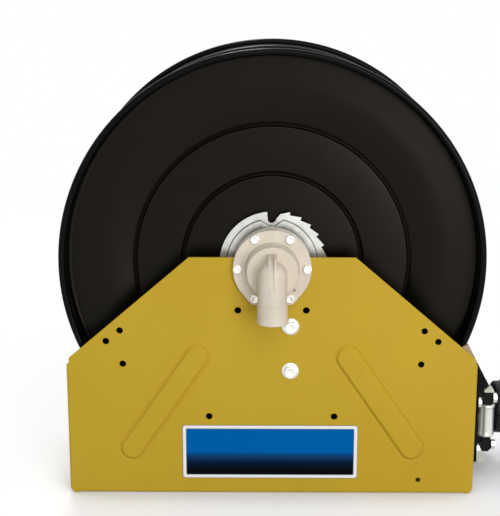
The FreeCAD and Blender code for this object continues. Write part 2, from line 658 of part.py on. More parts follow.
def spool_axle():
    tube = along_y(AXLE_RADIUS, OUTER_Y - 8, PORT_Y + AXLE_RADIUS + 5)
    collar = along_y(AXLE_RADIUS + 4, BEARING_END_Y + 0.3, RATCHET_BACK_Y)
    bore = along_y(AXLE_BORE, OUTER_Y - 8, PORT_Y + AXLE_BORE + 2.5)
    port = cylinder(AXLE_BORE, (0, PORT_Y, HUB_HEIGHT), (0, PORT_Y, HUB_HEIGHT + 2 * AXLE_RADIUS))
    return without(tube.fuse(collar), [bore, port])


def riser_pipe():
    low = (0, PORT_Y, HUB_HEIGHT)
    top = (0, PORT_Y, HUB_HEIGHT + DRUM_RADIUS)
    pipe = cylinder(RISER_RADIUS, low, top)
    shoe = cylinder(RISER_SHOE, low, (0, PORT_Y, HUB_HEIGHT + AXLE_RADIUS + RISER_SHOE_RISE))
    rough = pipe.fuse(shoe).cut(cylinder(AXLE_BORE, low, top)).cut(along_y(AXLE_RADIUS, -FRAME_DEPTH, FRAME_DEPTH))
    return rough.common(along_y(DRUM_RADIUS, -FRAME_DEPTH, FRAME_DEPTH)).removeSplitter()


def near_hub():
    flange = ring_y(HUB_FLANGE_RADIUS, AXLE_RADIUS, RATCHET_BACK_Y, -HUB_FACE_Y)
    boss = ring_y(HUB_BOSS_RADIUS, AXLE_RADIUS, -HUB_FACE_Y, NEAR_BOSS_LENGTH - HUB_FACE_Y)
    holes = bolt_circle_holes(BOLT_M8 / 2, -FRAME_DEPTH, 0, around(HUB_BOLT_CIRCLE, 6, 30))
    return without(fused([flange, boss]), holes)


def far_hub():
    inside = HUB_FACE_Y - DISC_SHEET
    flange = ring_y(HUB_FLANGE_RADIUS, AXLE_RADIUS + 6, inside - HUB_FLANGE, inside)
    boss = ring_y(HUB_BOSS_RADIUS, AXLE_RADIUS + 6, FAR_BOSS_START, FAR_BOSS_END)
    holes = bolt_circle_holes(BOLT_M8 / 2, 0, FRAME_DEPTH, around(HUB_BOLT_CIRCLE, 6, 30))
    return without(fused([flange, boss]), holes)


def far_bush():
    return ring_y(AXLE_RADIUS + 6, AXLE_RADIUS + RUNNING_FIT, FAR_BOSS_START, FAR_BOSS_END)


def polar_wire(points, turn):
    return Part.makePolygon([polar(radius, angle + turn) for radius, angle in points])


def closed_face(wires):
    return Part.Face(Part.Wire(Part.__sortEdges__([edge for wire in wires for edge in wire.Edges])))


def ratchet_outline():
    """Clockwise from the open notch: a row of teeth over a quarter, then a plain rim to the next notch."""
    half = list(NOTCH_EDGE)
    for i in range(TIPS):
        tip = FIRST_TIP + TOOTH_PITCH * i
        half.append((RATCHET_TIP, tip))
        half.append((RATCHET_ROOT, tip + 0.8))
    half.append((RATCHET_RIM, RIM_START))
    rim_end = (RATCHET_RIM, NOTCH_START)
    floor = (NOTCH_EDGE[0][0], NOTCH_EDGE[0][1] + 180)
    wires = []
    for turn in (0, 180):
        arc = [polar(RATCHET_RIM, angle + turn) for angle in (RIM_START, 133.0, NOTCH_START)]
        wires += [polar_wire(half, turn), Part.Arc(*arc).toShape(), polar_wire([rim_end, floor], turn)]
    return closed_face(wires)


def ratchet_cup():
    """The pressed middle of the wheel; its edge dips in under each notch."""
    wires = []
    for turn in (0, 180):
        start = CUP_DIP[-1][1] + turn
        end = 180 + CUP_DIP[0][1] + turn
        arc = Part.Arc(polar(RATCHET_CUP, start), polar(RATCHET_CUP, (start + end) / 2), polar(RATCHET_CUP, end))
        wires += [polar_wire(CUP_DIP, turn), arc.toShape()]
    return closed_face(wires)


def ratchet_wheel():
    plate = ratchet_outline()
    plate.translate(V(0, RATCHET_FRONT_Y, 0))
    plate = plate.extrude(V(0, RATCHET_SHEET, 0))
    cup = ratchet_cup()
    cup.translate(V(0, CUP_FRONT_Y, 0))
    cup = cup.extrude(V(0, RATCHET_CUP_RISE + 1, 0))
    cup = bevelled(cup, RATCHET_CUP_BEVEL, lambda box: box.YMax < CUP_FRONT_Y + 0.1)
    tools = [along_y(AXLE_RADIUS + 4, CUP_FRONT_Y, 0)]
    tools += bolt_circle_holes(BOLT_M8 / 2, -FRAME_DEPTH, 0, around(HUB_BOLT_CIRCLE, 6, 30))
    return without(fused([plate, cup]), tools)


def near_hub_bolts():
    bolts = []
    inside = DISC_SHEET - HUB_FACE_Y
    for x, z in around(HUB_BOLT_CIRCLE, 6, 30):
        shank = bolt(HEAD_M8, 5.3, BOLT_M8, (x, CUP_FRONT_Y, z), (x, inside + 8, z))
        bolts.append(fused([shank, hexagon(HEAD_M8, (x, inside, z), (x, inside + 6.5, z))]))
    return bolts


def far_hub_bolts():
    bolts = []
    outside = HUB_FACE_Y + CASE_WALL
    inside = HUB_FACE_Y - DISC_SHEET - HUB_FLANGE
    for x, z in around(HUB_BOLT_CIRCLE, 6, 30):
        shank = bolt(HEAD_M8, 5.3, BOLT_M8, (x, outside, z), (x, inside - 8, z))
        bolts.append(fused([shank, hexagon(HEAD_M8, (x, inside, z), (x, inside - 6.5, z))]))
    return bolts


# Spring case and arbor

def spring_case():
    floor_y = HUB_FACE_Y + CASE_WALL
    plate = ring_y(CASE_FLANGE, HUB_BOSS_RADIUS, HUB_FACE_Y, floor_y)
    wall = ring_y(CASE_RADIUS, CASE_RADIUS - CASE_WALL, floor_y, HUB_FACE_Y + CASE_DEPTH)
    holes = bolt_circle_holes(BOLT_M8 / 2, 0, FRAME_DEPTH, around(HUB_BOLT_CIRCLE, 6, 30))
    holes += bolt_circle_holes(BOLT_M8 / 2, 0, FRAME_DEPTH, around(CASE_BOLT_CIRCLE, CASE_BOLTS))
    return without(fused([plate, wall]), holes)


def spring_cover():
    """A pressed lid: its rim grips the case and its middle stays clear of the fixed arbor."""
    face = HUB_FACE_Y + CASE_DEPTH
    lid = ring_y(CASE_RADIUS, AXLE_RADIUS + 4, face, face + COVER)
    skirt = ring_y(CASE_RADIUS + 1.5, CASE_RADIUS, face - 8, face + COVER)
    return fused([lid, skirt])


def case_bolts():
    bolts = []
    outside = HUB_FACE_Y + CASE_WALL
    inside = HUB_FACE_Y - DISC_SHEET
    for x, z in around(CASE_BOLT_CIRCLE, CASE_BOLTS):
        shank = bolt(HEAD_M8, 5.3, BOLT_M8, (x, outside, z), (x, inside - 8, z))
        bolts.append(fused([shank, hexagon(HEAD_M8, (x, inside, z), (x, inside - 6.5, z))]))
    return bolts


def half_ring(radius, centre_x, upper, y0, y1):
    ring = ring_y(radius + SPRING_STRIP / 2, radius - SPRING_STRIP / 2, y0, y1, centre_x)
    reach = radius + SPRING_STRIP
    low = HUB_HEIGHT if upper else HUB_HEIGHT - reach
    return ring.common(block(centre_x - reach, centre_x + reach, y0, y1, low, low + reach))


def power_spring():
    """A flat spiral of half turns on two centres, from the case wall in to the arbor."""
    y0 = HUB_FACE_Y + CASE_WALL + 6.5
    y1 = HUB_FACE_Y + CASE_DEPTH - 2
    quarter = SPRING_PITCH / 4
    radius = CASE_RADIUS - CASE_WALL - SPRING_STRIP / 2 - 0.4 - quarter
    pieces = []
    for i in range(2 * SPRING_TURNS):
        upper = i % 2 == 0
        pieces.append(half_ring(radius, quarter if upper else -quarter, upper, y0, y1))
        radius -= 2 * quarter
    last_x = -quarter - radius - 2 * quarter
    inner = AXLE_RADIUS + 0.4 + SPRING_STRIP / 2
    hook_radius = (inner - last_x) / 2
    pieces.append(half_ring(hook_radius, last_x + hook_radius, True, y0, y1))
    return fused(pieces)


def arbor_shaft():
    shaft = along_y(AXLE_RADIUS, FAR_BOSS_START - 3, ARBOR_END)
    end = hexagon(27, (0, ARBOR_END, HUB_HEIGHT), (0, ARBOR_END + 12, HUB_HEIGHT))
    return fused([shaft, end])


def arbor_bracket():
    flange = along_y(FLANGE_RADIUS, -OUTER_Y, -SWIVEL_FRONT_Y)
    spigot = along_y(NOTCH_RADIUS - 0.3, -INNER_Y, -OUTER_Y)
    boss = along_y(ARBOR_BOSS, -SWIVEL_FRONT_Y, ARBOR_BOSS_LENGTH - SWIVEL_FRONT_Y)
    boss = bevelled(boss, 2, lambda box: box.YMin > ARBOR_BOSS_LENGTH - SWIVEL_FRONT_Y - 0.1)
    places = [(x, z) for x, z in around(FLANGE_BOLT_CIRCLE, FLANGE_BOLTS) if z < PANEL_TOP]
    tools = [along_y(AXLE_RADIUS, 0, FRAME_DEPTH)] + bolt_circle_holes(BOLT_M8 / 2, 0, FRAME_DEPTH, places)
    return without(fused([flange, spigot, boss]), tools)


def arbor_bolts():
    bolts = []
    for x, z in around(FLANGE_BOLT_CIRCLE, FLANGE_BOLTS):
        if z < PANEL_TOP:
            shank = bolt(HEAD_M8, 5.5, BOLT_M8, (x, -SWIVEL_FRONT_Y, z), (x, -INNER_Y - 7.5, z))
            bolts.append(fused([shank, hexagon(HEAD_M8, (x, -INNER_Y, z), (x, -INNER_Y - 6.5, z))]))
    return bolts


# Latch

def latch_bolt(height, end_y):
    head = hexagon(19, (PAWL_X, OUTER_Y - 3, height), (PAWL_X, OUTER_Y - 11, height))
    washer = cone(LATCH_FLANGE / 2, LATCH_FLANGE / 2 - 3, (PAWL_X, OUTER_Y, height), (PAWL_X, OUTER_Y - 3, height))
    shank = along_y(PAWL_PIN, OUTER_Y, end_y, PAWL_X, height)
    lock = hexagon(19, (PAWL_X, INNER_Y, height), (PAWL_X, INNER_Y + 8, height))
    return fused([head, washer, shank, lock])


def pawl_bolt():
    back = PAWL_FRONT_Y + PAWL_SHEET
    shank = latch_bolt(PAWL_HEIGHT, back + 4)
    sleeve = along_y(PAWL_BOSS, INNER_Y + 8, PAWL_FRONT_Y - 0.3, PAWL_X, PAWL_HEIGHT)
    clip = along_y(PAWL_BOSS, back + 0.3, back + 2.3, PAWL_X, PAWL_HEIGHT)
    return fused([shank, sleeve, clip])


def spring_bolt():
    middle = PAWL_FRONT_Y + PAWL_SHEET / 2
    shank = latch_bolt(SPRING_BOLT_HEIGHT, middle + 5)
    groove = ring_y(PAWL_PIN, PAWL_PIN - SPRING_GROOVE, middle - 2, middle + 2, PAWL_X, SPRING_BOLT_HEIGHT)
    return shank.cut(groove)


def pawl_point(length, clockwise):
    turn = math.radians(clockwise)
    return (PAWL_X + length * math.sin(turn), PAWL_HEIGHT + length * math.cos(turn))


def pawl():
    """The latch dog, leaning to its free side: a blunt nose, a round boss and a tail for the spring."""
    back = PAWL_FRONT_Y + PAWL_SHEET
    nose = [pawl_point(PAWL_BOSS * 0.97, -PAWL_LEAN - 72), pawl_point(PAWL_NOSE, -PAWL_LEAN - 9),
            pawl_point(PAWL_NOSE, -PAWL_LEAN + 9), pawl_point(PAWL_BOSS * 0.97, -PAWL_LEAN + 72)]
    tail = [pawl_point(PAWL_BOSS * 0.9, 180 - PAWL_LEAN - 62), pawl_point(PAWL_TAIL + 4, 180 - PAWL_LEAN - 8),
            pawl_point(PAWL_TAIL + 4, 180 - PAWL_LEAN + 8), pawl_point(PAWL_BOSS * 0.9, 180 - PAWL_LEAN + 62)]
    boss = along_y(PAWL_BOSS, PAWL_FRONT_Y, back, PAWL_X, PAWL_HEIGHT)
    body = fused([boss, prism_y(nose, PAWL_FRONT_Y, back), prism_y(tail, PAWL_FRONT_Y, back)])
    eye = pawl_point(PAWL_TAIL, 180 - PAWL_LEAN)
    return without(body, [along_y(PAWL_PIN + RUNNING_FIT, PAWL_FRONT_Y, back, PAWL_X, PAWL_HEIGHT),
                          along_y(2, PAWL_FRONT_Y, back, *eye)])


def pawl_spring():
    """The coil spring between the pawl's tail and the lower latch bolt, as the tube its coils fill."""
    middle = PAWL_FRONT_Y + PAWL_SHEET / 2
    x, z = pawl_point(PAWL_TAIL, 180 - PAWL_LEAN)
    eye = V(x, middle, z)
    anchor = V(PAWL_X, middle, SPRING_BOLT_HEIGHT)
    along = (anchor - eye).normalize()
    start = eye + along * SPRING_HOOK
    end = anchor - along * SPRING_HOOK
    coils = cylinder(SPRING_RADIUS, tuple(start), tuple(end))
    inside = cylinder(SPRING_RADIUS - SPRING_WIRE, tuple(start + along * SPRING_WIRE), tuple(end - along * SPRING_WIRE))
    upper = cylinder(SPRING_WIRE / 2, tuple(eye + along * PAWL_EYE_EDGE), tuple(start))
    lower = cylinder(SPRING_WIRE / 2, tuple(end), tuple(anchor - along * (PAWL_PIN - SPRING_GROOVE)))
    return fused([coils.cut(inside), upper, lower])


# Hose

def smooth(share):
    share = min(max(share, 0.0), 1.0)
    return share * share * (3 - 2 * share)


def turn_angles():
    """Angles from the +X side, rising the way the hose is laid: start, rise, shift, full layer, end."""
    gx, gy, gz = GUIDE_POINT
    reach = math.hypot(gx, gz - HUB_HEIGHT)
    leave = math.degrees(math.atan2(gz - HUB_HEIGHT, gx) - math.acos(LAYER_RADIUS / reach))
    layer = leave - 360.0 * FULL_TURNS
    shift = layer - SHIFT_ANGLE
    rise = shift - RISE_ANGLE
    start = START_ANGLE - 360.0 * (FULL_TURNS + 1)
    return start, rise, shift, layer, leave


def wound_point(angle):
    start, rise, shift, layer, leave = turn_angles()
    radius = CHANNEL_RADIUS + (LAYER_RADIUS - CHANNEL_RADIUS) * smooth((angle - rise) / RISE_ANGLE)
    y = FIRST_TURN_Y + (RESTING_TURN_Y - FIRST_TURN_Y) * smooth((angle - shift) / SHIFT_ANGLE)
    y += TURN_PITCH * max(angle - layer, 0.0) / 360
    turn = math.radians(angle)
    return V(radius * math.cos(turn), y, HUB_HEIGHT + radius * math.sin(turn))


def wound_direction(angle):
    """Taken on one side only where the path changes from one law to the next."""
    step = 0.01
    return (wound_point(angle + step) - wound_point(angle - step)).normalize()


def biarc(p0, t0, p1, t1):
    v = p1 - p0
    t = t0 + t1
    spread = 1 - t0.dot(t1)
    vt = v.dot(t)
    if spread < 1e-9:
        return [Part.LineSegment(p0, p1).toShape()]
    d = (math.sqrt(vt * vt + 2 * spread * v.dot(v)) - vt) / (2 * spread)
    q0 = p0 + t0 * d
    q1 = p1 - t1 * d
    joint = (q0 + q1) * 0.5
    edges = []
    for a, q, b in ((p0, q0, joint), (joint, q1, p1)):
        weight = (b - a).Length / (2 * d)
        middle = (a + q * (2 * weight) + b) * (1 / (2 * (1 + weight)))
        edges.append(Part.Arc(a, middle, b).toShape())
    return edges


def wound_knots():
    start, rise, shift, layer, leave = turn_angles()
    knots = []
    for low, high, parts in ((start, rise, 3), (rise, shift, 4), (shift, layer, 3), (layer, leave, 4 * FULL_TURNS)):
        knots += [low + (high - low) * i / parts for i in range(parts)]
    return knots + [leave]


def wound_path():
    knots = wound_knots()
    edges = []
    for a, b in zip(knots, knots[1:]):
        edges += biarc(wound_point(a), wound_direction(a), wound_point(b), wound_direction(b))
    return Part.Wire(edges)


def tube_section(centre, direction, sides):
    """A regular polygon round the hose whose flats touch the hose's diameter."""
    direction = V(direction).normalize()
    side = V(0, 0, 1).cross(direction).normalize()
    other = direction.cross(side)
    reach = HOSE_DIAMETER / 2
    points = []
    for i in range(sides + 1):
        turn = 2 * math.pi * (i + 0.5) / sides
        points.append(centre + side * (reach * math.cos(turn)) + other * (reach * math.sin(turn)))
    return Part.makePolygon(points)


def hose_turns():
    path = wound_path()
    first = turn_angles()[0]
    section = tube_section(wound_point(first), wound_direction(first), HOSE_SIDES)
    tube = path.makePipeShell([section], True, False)
    report_gap(path)
    return tube


def report_gap(path):
    """Prints the least clear gap between neighbouring turns, measured on points of the path."""
    points = path.discretize(Distance=8.0)
    far_enough = int(math.pi * CHANNEL_RADIUS / 8.0)
    least = min((points[i] - points[j]).Length
                for i in range(len(points)) for j in range(i + far_enough, len(points)))
    print("least gap between the hose's turns %.2f mm" % (least - HOSE_DIAMETER))


def route_path(points):
    """Straight runs joined by tangent arcs; prints each arc's radius."""
    edges = []
    here = points[0]
    for before, corner, after in zip(points, points[1:], points[2:]):
        run_in = corner - before
        run_out = after - corner
        share = 0.45 * min(run_in.Length, run_out.Length)
        a = corner - V(run_in).normalize() * share
        b = corner + V(run_out).normalize() * share
        half_turn = V(run_in).getAngle(run_out) / 2
        print("hose bend radius %.0f mm" % (share / math.tan(half_turn)))
        weight = math.cos(half_turn)
        middle = (a + corner * (2 * weight) + b) * (1 / (2 * (1 + weight)))
        edges.append(Part.LineSegment(here, a).toShape())
        edges.append(Part.Arc(a, middle, b).toShape())
        here = b
    edges.append(Part.LineSegment(here, points[-1]).toShape())
    return Part.Wire(edges)


def lead_points():
    """Off the winding in line with its turn, across to the guide once clear of the next turn, then out."""
    leave = turn_angles()[4]
    start = wound_point(leave)
    clear = start + wound_direction(leave) * LEAD_STRAIGHT
    return [start, clear, V(*GUIDE_POINT)] + [V(*point) for point in TAIL_ROUTE]


def hose_lead():
    points = lead_points()
    path = route_path(points)
    direction = (points[1] - points[0]).normalize()
    section = Part.Wire(Part.makeCircle(HOSE_DIAMETER / 2, points[0], direction))
    tube = path.makePipeShell([section], True, False)
    print("hose lead volume over section times length %.4f"
          % (tube.Volume / (math.pi * HOSE_DIAMETER ** 2 / 4 * path.Length)))
    return tube


def hose_core():
    """The two inner layers as one body; the channel beside the near disc is where the outer turn lies."""
    end = DISC_FACE_Y + STEP_HEIGHT - DISC_SHEET - 0.3
    return turned([(-end, DRUM_RADIUS), (end, DRUM_RADIUS), (end, CORE_TOPS[1]), (CHANNEL_WALL_Y, CORE_TOPS[1]),
                   (CHANNEL_WALL_Y, CORE_TOPS[0]), (-end, CORE_TOPS[0])])


def end_fitting():
    a, b = (V(*point) for point in TAIL_ROUTE[-2:])
    along = (b - a).normalize()

    def at(distance):
        return tuple(b + along * distance)

    ferrule = cylinder(FERRULE_RADIUS, at(0), at(FERRULE_LENGTH))
    grooves = []
    for place in (10, 22, 34):
        ring = cylinder(FERRULE_RADIUS, at(place), at(place + 5))
        grooves.append(ring.cut(cylinder(FERRULE_RADIUS - 1.2, at(place), at(place + 5))))
    hexed = hexagon(NIPPLE_HEX, at(FERRULE_LENGTH), at(FERRULE_LENGTH + 14))
    nipple = cylinder(NIPPLE_RADIUS, at(FERRULE_LENGTH + 14), at(FERRULE_LENGTH + NIPPLE_LENGTH))
    bore = cylinder(AXLE_BORE, at(4), at(FERRULE_LENGTH + NIPPLE_LENGTH))
    return without(fused([ferrule, hexed, nipple]), grooves + [bore])


def hose_stop():
    """Two moulded halves clamped round the hose; the front face rests against the upright rollers."""
    x0 = STOP_START
    x1 = x0 + STOP_LENGTH
    y, z = GUIDE_POINT[1:]
    reach = HOSE_DIAMETER / 2
    edge = [(x0 + along, radius) for along, radius in STOP_PROFILE]
    edge += [(x1 - along, radius) for along, radius in reversed(STOP_PROFILE)]
    outline = [V(x0, y, z + reach)] + [V(x, y, z + radius) for x, radius in edge] + [V(x1, y, z + reach)]
    whole = polygon(outline).revolve(V(0, y, z), V(1, 0, 0), 360)
    wells = []
    for side in (-1, 1):
        for x in stop_bolt_places():
            wells.append(cylinder(BOLT_M8 / 2, (x, y + side * 36, z - 80), (x, y + side * 36, z + 80)))
            for up in (-1, 1):
                wells.append(cylinder(9, (x, y + side * 36, z + up * 24), (x, y + side * 36, z + up * 80)))
    whole = without(whole, wells)
    halves = []
    for low, high in ((z - STOP_RADIUS, z - 1), (z + 1, z + STOP_RADIUS)):
        halves.append(whole.common(block(x0, x1, y - STOP_RADIUS, y + STOP_RADIUS, low, high)))
    return halves


def stop_bolt_places():
    return (STOP_START + STOP_LENGTH * 0.28, STOP_START + STOP_LENGTH * 0.72)


def stop_bolts():
    bolts = []
    y, z = GUIDE_POINT[1:]
    for side in (-1, 1):
        for x in stop_bolt_places():
            place = (x, y + side * 36)
            shank = bolt(HEAD_M8, 5.5, BOLT_M8, place + (z + 24,), place + (z - 31,))
            bolts.append(fused([shank, hexagon(HEAD_M8, place + (z - 24,), place + (z - 30.5,))]))
    return bolts


# Roller guide

def guide_arm():
    """A cut plate beside the near panel, turned in along its upright edge to carry the guide plate."""
    front = -ARM_Y
    plate = prism_y(ARM_OUTLINE, front, front + ARM_SHEET)
    bottom = min(z for x, z in ARM_OUTLINE)
    top = max(z for x, z in ARM_OUTLINE if x == ARM_EDGE)
    flange = block(ARM_EDGE - ARM_SHEET, ARM_EDGE, front, -ARM_FLANGE_END, bottom, top)
    arm = fused([plate, flange])
    arm = arm.cut(block(ARM_EDGE - 2 * ARM_SHEET, ARM_EDGE - ARM_SHEET, front, front + ARM_SHEET, top - 1, top + 2))
    tools = [along_y(PANEL_HOLE / 4, front, front + ARM_SHEET, x, z) for x, z in ARM_HOLES]
    for z in SIDE_BOLT_Z:
        tools.append(cylinder(5, (ARM_EDGE - ARM_SHEET, -SIDE_BOLT_Y, z), (ARM_EDGE, -SIDE_BOLT_Y, z)))
    return without(arm, tools).removeSplitter()


def arm_screws():
    screws = []
    radius = PANEL_HOLE / 4
    for x, z in ARM_HOLES:
        head = cone(PANEL_HOLE / 2, radius, (x, OUTER_Y, z), (x, INNER_Y, z))
        shank = along_y(radius, INNER_Y, ARM_SHEET + 6 - ARM_Y, x, z)
        spacer = along_y(8, INNER_Y, -ARM_Y, x, z)
        lock = hexagon(10, (x, ARM_SHEET - ARM_Y, z), (x, ARM_SHEET + 5 - ARM_Y, z))
        screw = fused([head, shank, spacer, lock])
        screws += [screw, mirrored(screw)]
    return screws


def guide_plate():
    """The cross plate with the hose window; two ears turned in carry the level rollers."""
    plate = block(ARM_EDGE, GUIDE_FACE, -GUIDE_HALF, GUIDE_HALF, GUIDE_BOTTOM, GUIDE_TOP)
    ear_low = ARM_EDGE - EAR_REACH
    ears = []
    for side in (-1, 1):
        y = sorted((side * EAR_INSIDE, side * (EAR_INSIDE + EAR_SHEET)))
        ears.append(block(ear_low, ARM_EDGE, y[0], y[1], GUIDE_BOTTOM, GUIDE_TOP))
    tools = [block(ARM_EDGE, GUIDE_FACE, -WINDOW_HALF, WINDOW_HALF, WINDOW_BOTTOM, WINDOW_TOP)]
    for side in (-1, 1):
        for z in SIDE_BOLT_Z:
            tools.append(cylinder(5, (ARM_EDGE, side * SIDE_BOLT_Y, z), (GUIDE_FACE, side * SIDE_BOLT_Y, z)))
    for y, z in bar_bolt_places():
        tools.append(cylinder(BOLT_M8 / 2, (ARM_EDGE, y, z), (GUIDE_FACE, y, z)))
    for z in CROSS_ROLLER_Z:
        tools.append(along_y(ROLLER_PIN, -GUIDE_HALF, GUIDE_HALF, CROSS_ROLLER_X, z))
    return without(fused([plate] + ears), tools)


def chute_plate():
    """The bright wear plate in front of the window, with a horn at one upper corner and a scoop below."""
    low = CHUTE_LOW
    high = CHUTE_TOP
    half = CHUTE_HALF
    face = CHUTE_FACE
    plate = block(GUIDE_FACE, face, -half, half, low, high)
    upper = [(GUIDE_FACE, high), (GUIDE_FACE, high - 1), (face + 7, high), (face + 8, high + 2.2), (face, high + 2)]
    horn = [(face + 5, high), (face + 7, high + 2), (face + 12.5, high + 3), (face + 21, high + 10),
            (face + 27.5, high + 1.5), (face + 27.5, high - 0.8), (face + 19, high - 0.6)]
    lower = [(GUIDE_FACE, low), (face, low), (face + 10, low - 4), (face + 21, low - 26), (face + 17, low - 26),
             (face + 7, low - 7)]
    cheek = [(face - 2, low), (face + 10, low - 4), (face + 21, low - 26), (face + 5, low - 22)]
    parts = [plate, prism_y(upper, -half, half), prism_y(lower, -half, half)]
    parts += [prism_y(cheek, -half, CHUTE_LIP - half), prism_y(cheek, half - CHUTE_LIP, half)]
    parts.append(prism_y(horn, -half, CHUTE_LIP - half))
    tools = [block(GUIDE_FACE, face, -WINDOW_HALF, WINDOW_HALF, WINDOW_BOTTOM, WINDOW_TOP)]
    for y, z in bar_bolt_places():
        tools.append(cylinder(BOLT_M8 / 2, (GUIDE_FACE, y, z), (face, y, z)))
    return without(fused(parts), tools)


def bar_levels():
    return ((ROLLER_BOTTOM - BAR_HEIGHT, ROLLER_BOTTOM), (ROLLER_TOP, ROLLER_TOP + BAR_HEIGHT))


def bar_bolt_places():
    return [(side * BAR_BOLT_Y, (low + high) / 2) for side in (-1, 1) for low, high in bar_levels()]


def roller_bar(level):
    """A square bar across the guide; it holds the ends of the upright roller pins."""
    low, high = bar_levels()[level]
    bar = block(BAR_X, BAR_X + BAR_WIDTH, -BAR_HALF, BAR_HALF, low, high)
    bar = rounded(bar, 3, lambda box: box.YLength > BAR_HALF)
    tools = []
    if level == 0:
        face = BAR_X + BAR_WIDTH
        corner = [(face - BAR_CHAMFER, low), (face + 1, low - 1), (face, low + BAR_CHAMFER)]
        tools.append(prism_y(corner, -BAR_HALF, BAR_HALF))
    for side in (-1, 1):
        y = side * ROLLER_Y
        tools.append(cylinder(ROLLER_PIN, (ROLLER_X, y, low), (ROLLER_X, y, high)))
        z = (low + high) / 2
        tools.append(cylinder(BOLT_M8 / 2, (BAR_X, side * BAR_BOLT_Y, z), (BAR_X + BAR_WIDTH, side * BAR_BOLT_Y, z)))
    return without(bar, tools)


def bar_bolts():
    """Bolts through both bars with a spacer tube between each bar and the wear plate."""
    bolts = []
    for y, z in bar_bolt_places():
        face = BAR_X + BAR_WIDTH
        shank = bolt(BAR_BOLT_NUT, 7, BOLT_M8, (face, y, z), (ARM_EDGE - 8, y, z))
        spacer = cylinder(7, (CHUTE_FACE, y, z), (BAR_X, y, z))
        bolts.append(fused([shank, spacer, hexagon(HEAD_M8, (ARM_EDGE, y, z), (ARM_EDGE - 6.5, y, z))]))
    return bolts


def side_bolts():
    bolts = []
    for side in (-1, 1):
        for z in SIDE_BOLT_Z:
            y = side * SIDE_BOLT_Y
            back = ARM_EDGE - ARM_SHEET
            shank = bolt(17, 6.5, 10, (back, y, z), (GUIDE_FACE + 10, y, z))
            bolts.append(fused([shank, hexagon(BAR_BOLT_NUT, (GUIDE_FACE, y, z), (GUIDE_FACE + 8.5, y, z))]))
    return bolts


def upright_roller(side):
    """A waisted plastic roller with a bead at each end."""
    y = side * ROLLER_Y
    low = ROLLER_BOTTOM + ROLLER_END_GAP
    high = ROLLER_TOP - ROLLER_END_GAP
    return roller((ROLLER_X, y, low), (ROLLER_X, y, high))


def cross_roller(z):
    end = EAR_INSIDE - ROLLER_END_GAP
    return roller((CROSS_ROLLER_X, -end, z), (CROSS_ROLLER_X, end, z))


def roller(start, end):
    a = V(*start)
    b = V(*end)
    along = (b - a).normalize()
    length = (b - a).Length
    bead = 7.0
    body = cylinder(ROLLER_RADIUS - 1, start, end)
    parts = [body]
    for place in (0.0, length - bead):
        low = a + along * place
        ring = cylinder(ROLLER_RADIUS, tuple(low), tuple(low + along * bead))
        middle = along.dot(low + along * (bead / 2))
        outward = -1 if place == 0.0 else 1
        corner = middle + outward * bead / 2
        ring = bevelled(ring, 2.5, lambda box: abs(along.dot(box.Center) - corner) < 0.1 and box.DiagonalLength > 20)
        parts.append(ring)
    return fused(parts).cut(cylinder(ROLLER_PIN + RUNNING_FIT, start, end))


def roller_pins():
    pins = []
    for side in (-1, 1):
        y = side * ROLLER_Y
        low = bar_levels()[0][0]
        high = bar_levels()[1][1]
        pins.append(cylinder(ROLLER_PIN, (ROLLER_X, y, low), (ROLLER_X, y, high)))
    for z in CROSS_ROLLER_Z:
        reach = EAR_INSIDE + EAR_SHEET
        pin = along_y(ROLLER_PIN, -reach, reach, CROSS_ROLLER_X, z)
        heads = [along_y(ROLLER_PIN + 1.5, reach, reach + 2.5, CROSS_ROLLER_X, z),
                 along_y(ROLLER_PIN + 1.5, -reach - 2.5, -reach, CROSS_ROLLER_X, z)]
        pins.append(fused([pin] + heads))
    return pins


def build():
    arm = guide_arm()
    return {
        "near_side_panel": side_panel(True),
        "far_side_panel": mirrored(side_panel(False)),
        "base_plate": base_plate(),
        "base_bolts": base_bolts(),
        "end_brace": end_brace(),
        "label_plate": label_plate(),
        "bearing_housing": bearing_housing(),
        "near_bearing": near_bearing(),
        "swivel_body": swivel_body(),
        "swivel_bolts": swivel_bolts(),
        "swivel_seal": swivel_seal(),
        "near_disc": disc(),
        "far_disc": far_disc(),
        "drum": drum(),
        "spool_axle": spool_axle(),
        "riser_pipe": riser_pipe(),
        "near_hub": near_hub(),
        "far_hub": far_hub(),
        "far_bush": far_bush(),
        "ratchet_wheel": ratchet_wheel(),
        "near_hub_bolts": near_hub_bolts(),
        "far_hub_bolts": far_hub_bolts(),
        "spring_case": spring_case(),
        "spring_cover": spring_cover(),
        "case_bolts": case_bolts(),
        "power_spring": power_spring(),
        "arbor_shaft": arbor_shaft(),
        "arbor_bracket": arbor_bracket(),
        "arbor_bolts": arbor_bolts(),
        "pawl_bolt": pawl_bolt(),
        "spring_bolt": spring_bolt(),
        "pawl": pawl(),
        "pawl_spring": pawl_spring(),
        "hose_core": hose_core(),
        "hose_turns": hose_turns(),
        "hose_lead": hose_lead(),
        "hose_end_fitting": end_fitting(),
        "hose_stop": hose_stop(),
        "hose_stop_bolts": stop_bolts(),
        "near_guide_arm": arm,
        "far_guide_arm": mirrored(arm),
        "arm_screws": arm_screws(),
        "guide_plate": guide_plate(),
        "chute_plate": chute_plate(),
        "lower_roller_bar": roller_bar(0),
        "upper_roller_bar": roller_bar(1),
        "bar_bolts": bar_bolts(),
        "side_bolts": side_bolts(),
        "near_roller": upright_roller(-1),
        "far_roller": upright_roller(1),
        "lower_roller": cross_roller(CROSS_ROLLER_Z[0]),
        "upper_roller": cross_roller(CROSS_ROLLER_Z[1]),
        "roller_pins": roller_pins(),
    }


os.makedirs("parts", exist_ok=True)
for name, shape in build().items():
    if isinstance(shape, list):
        shape = Part.makeCompound(shape)
    shape.exportStep("parts/%s.step" % name)
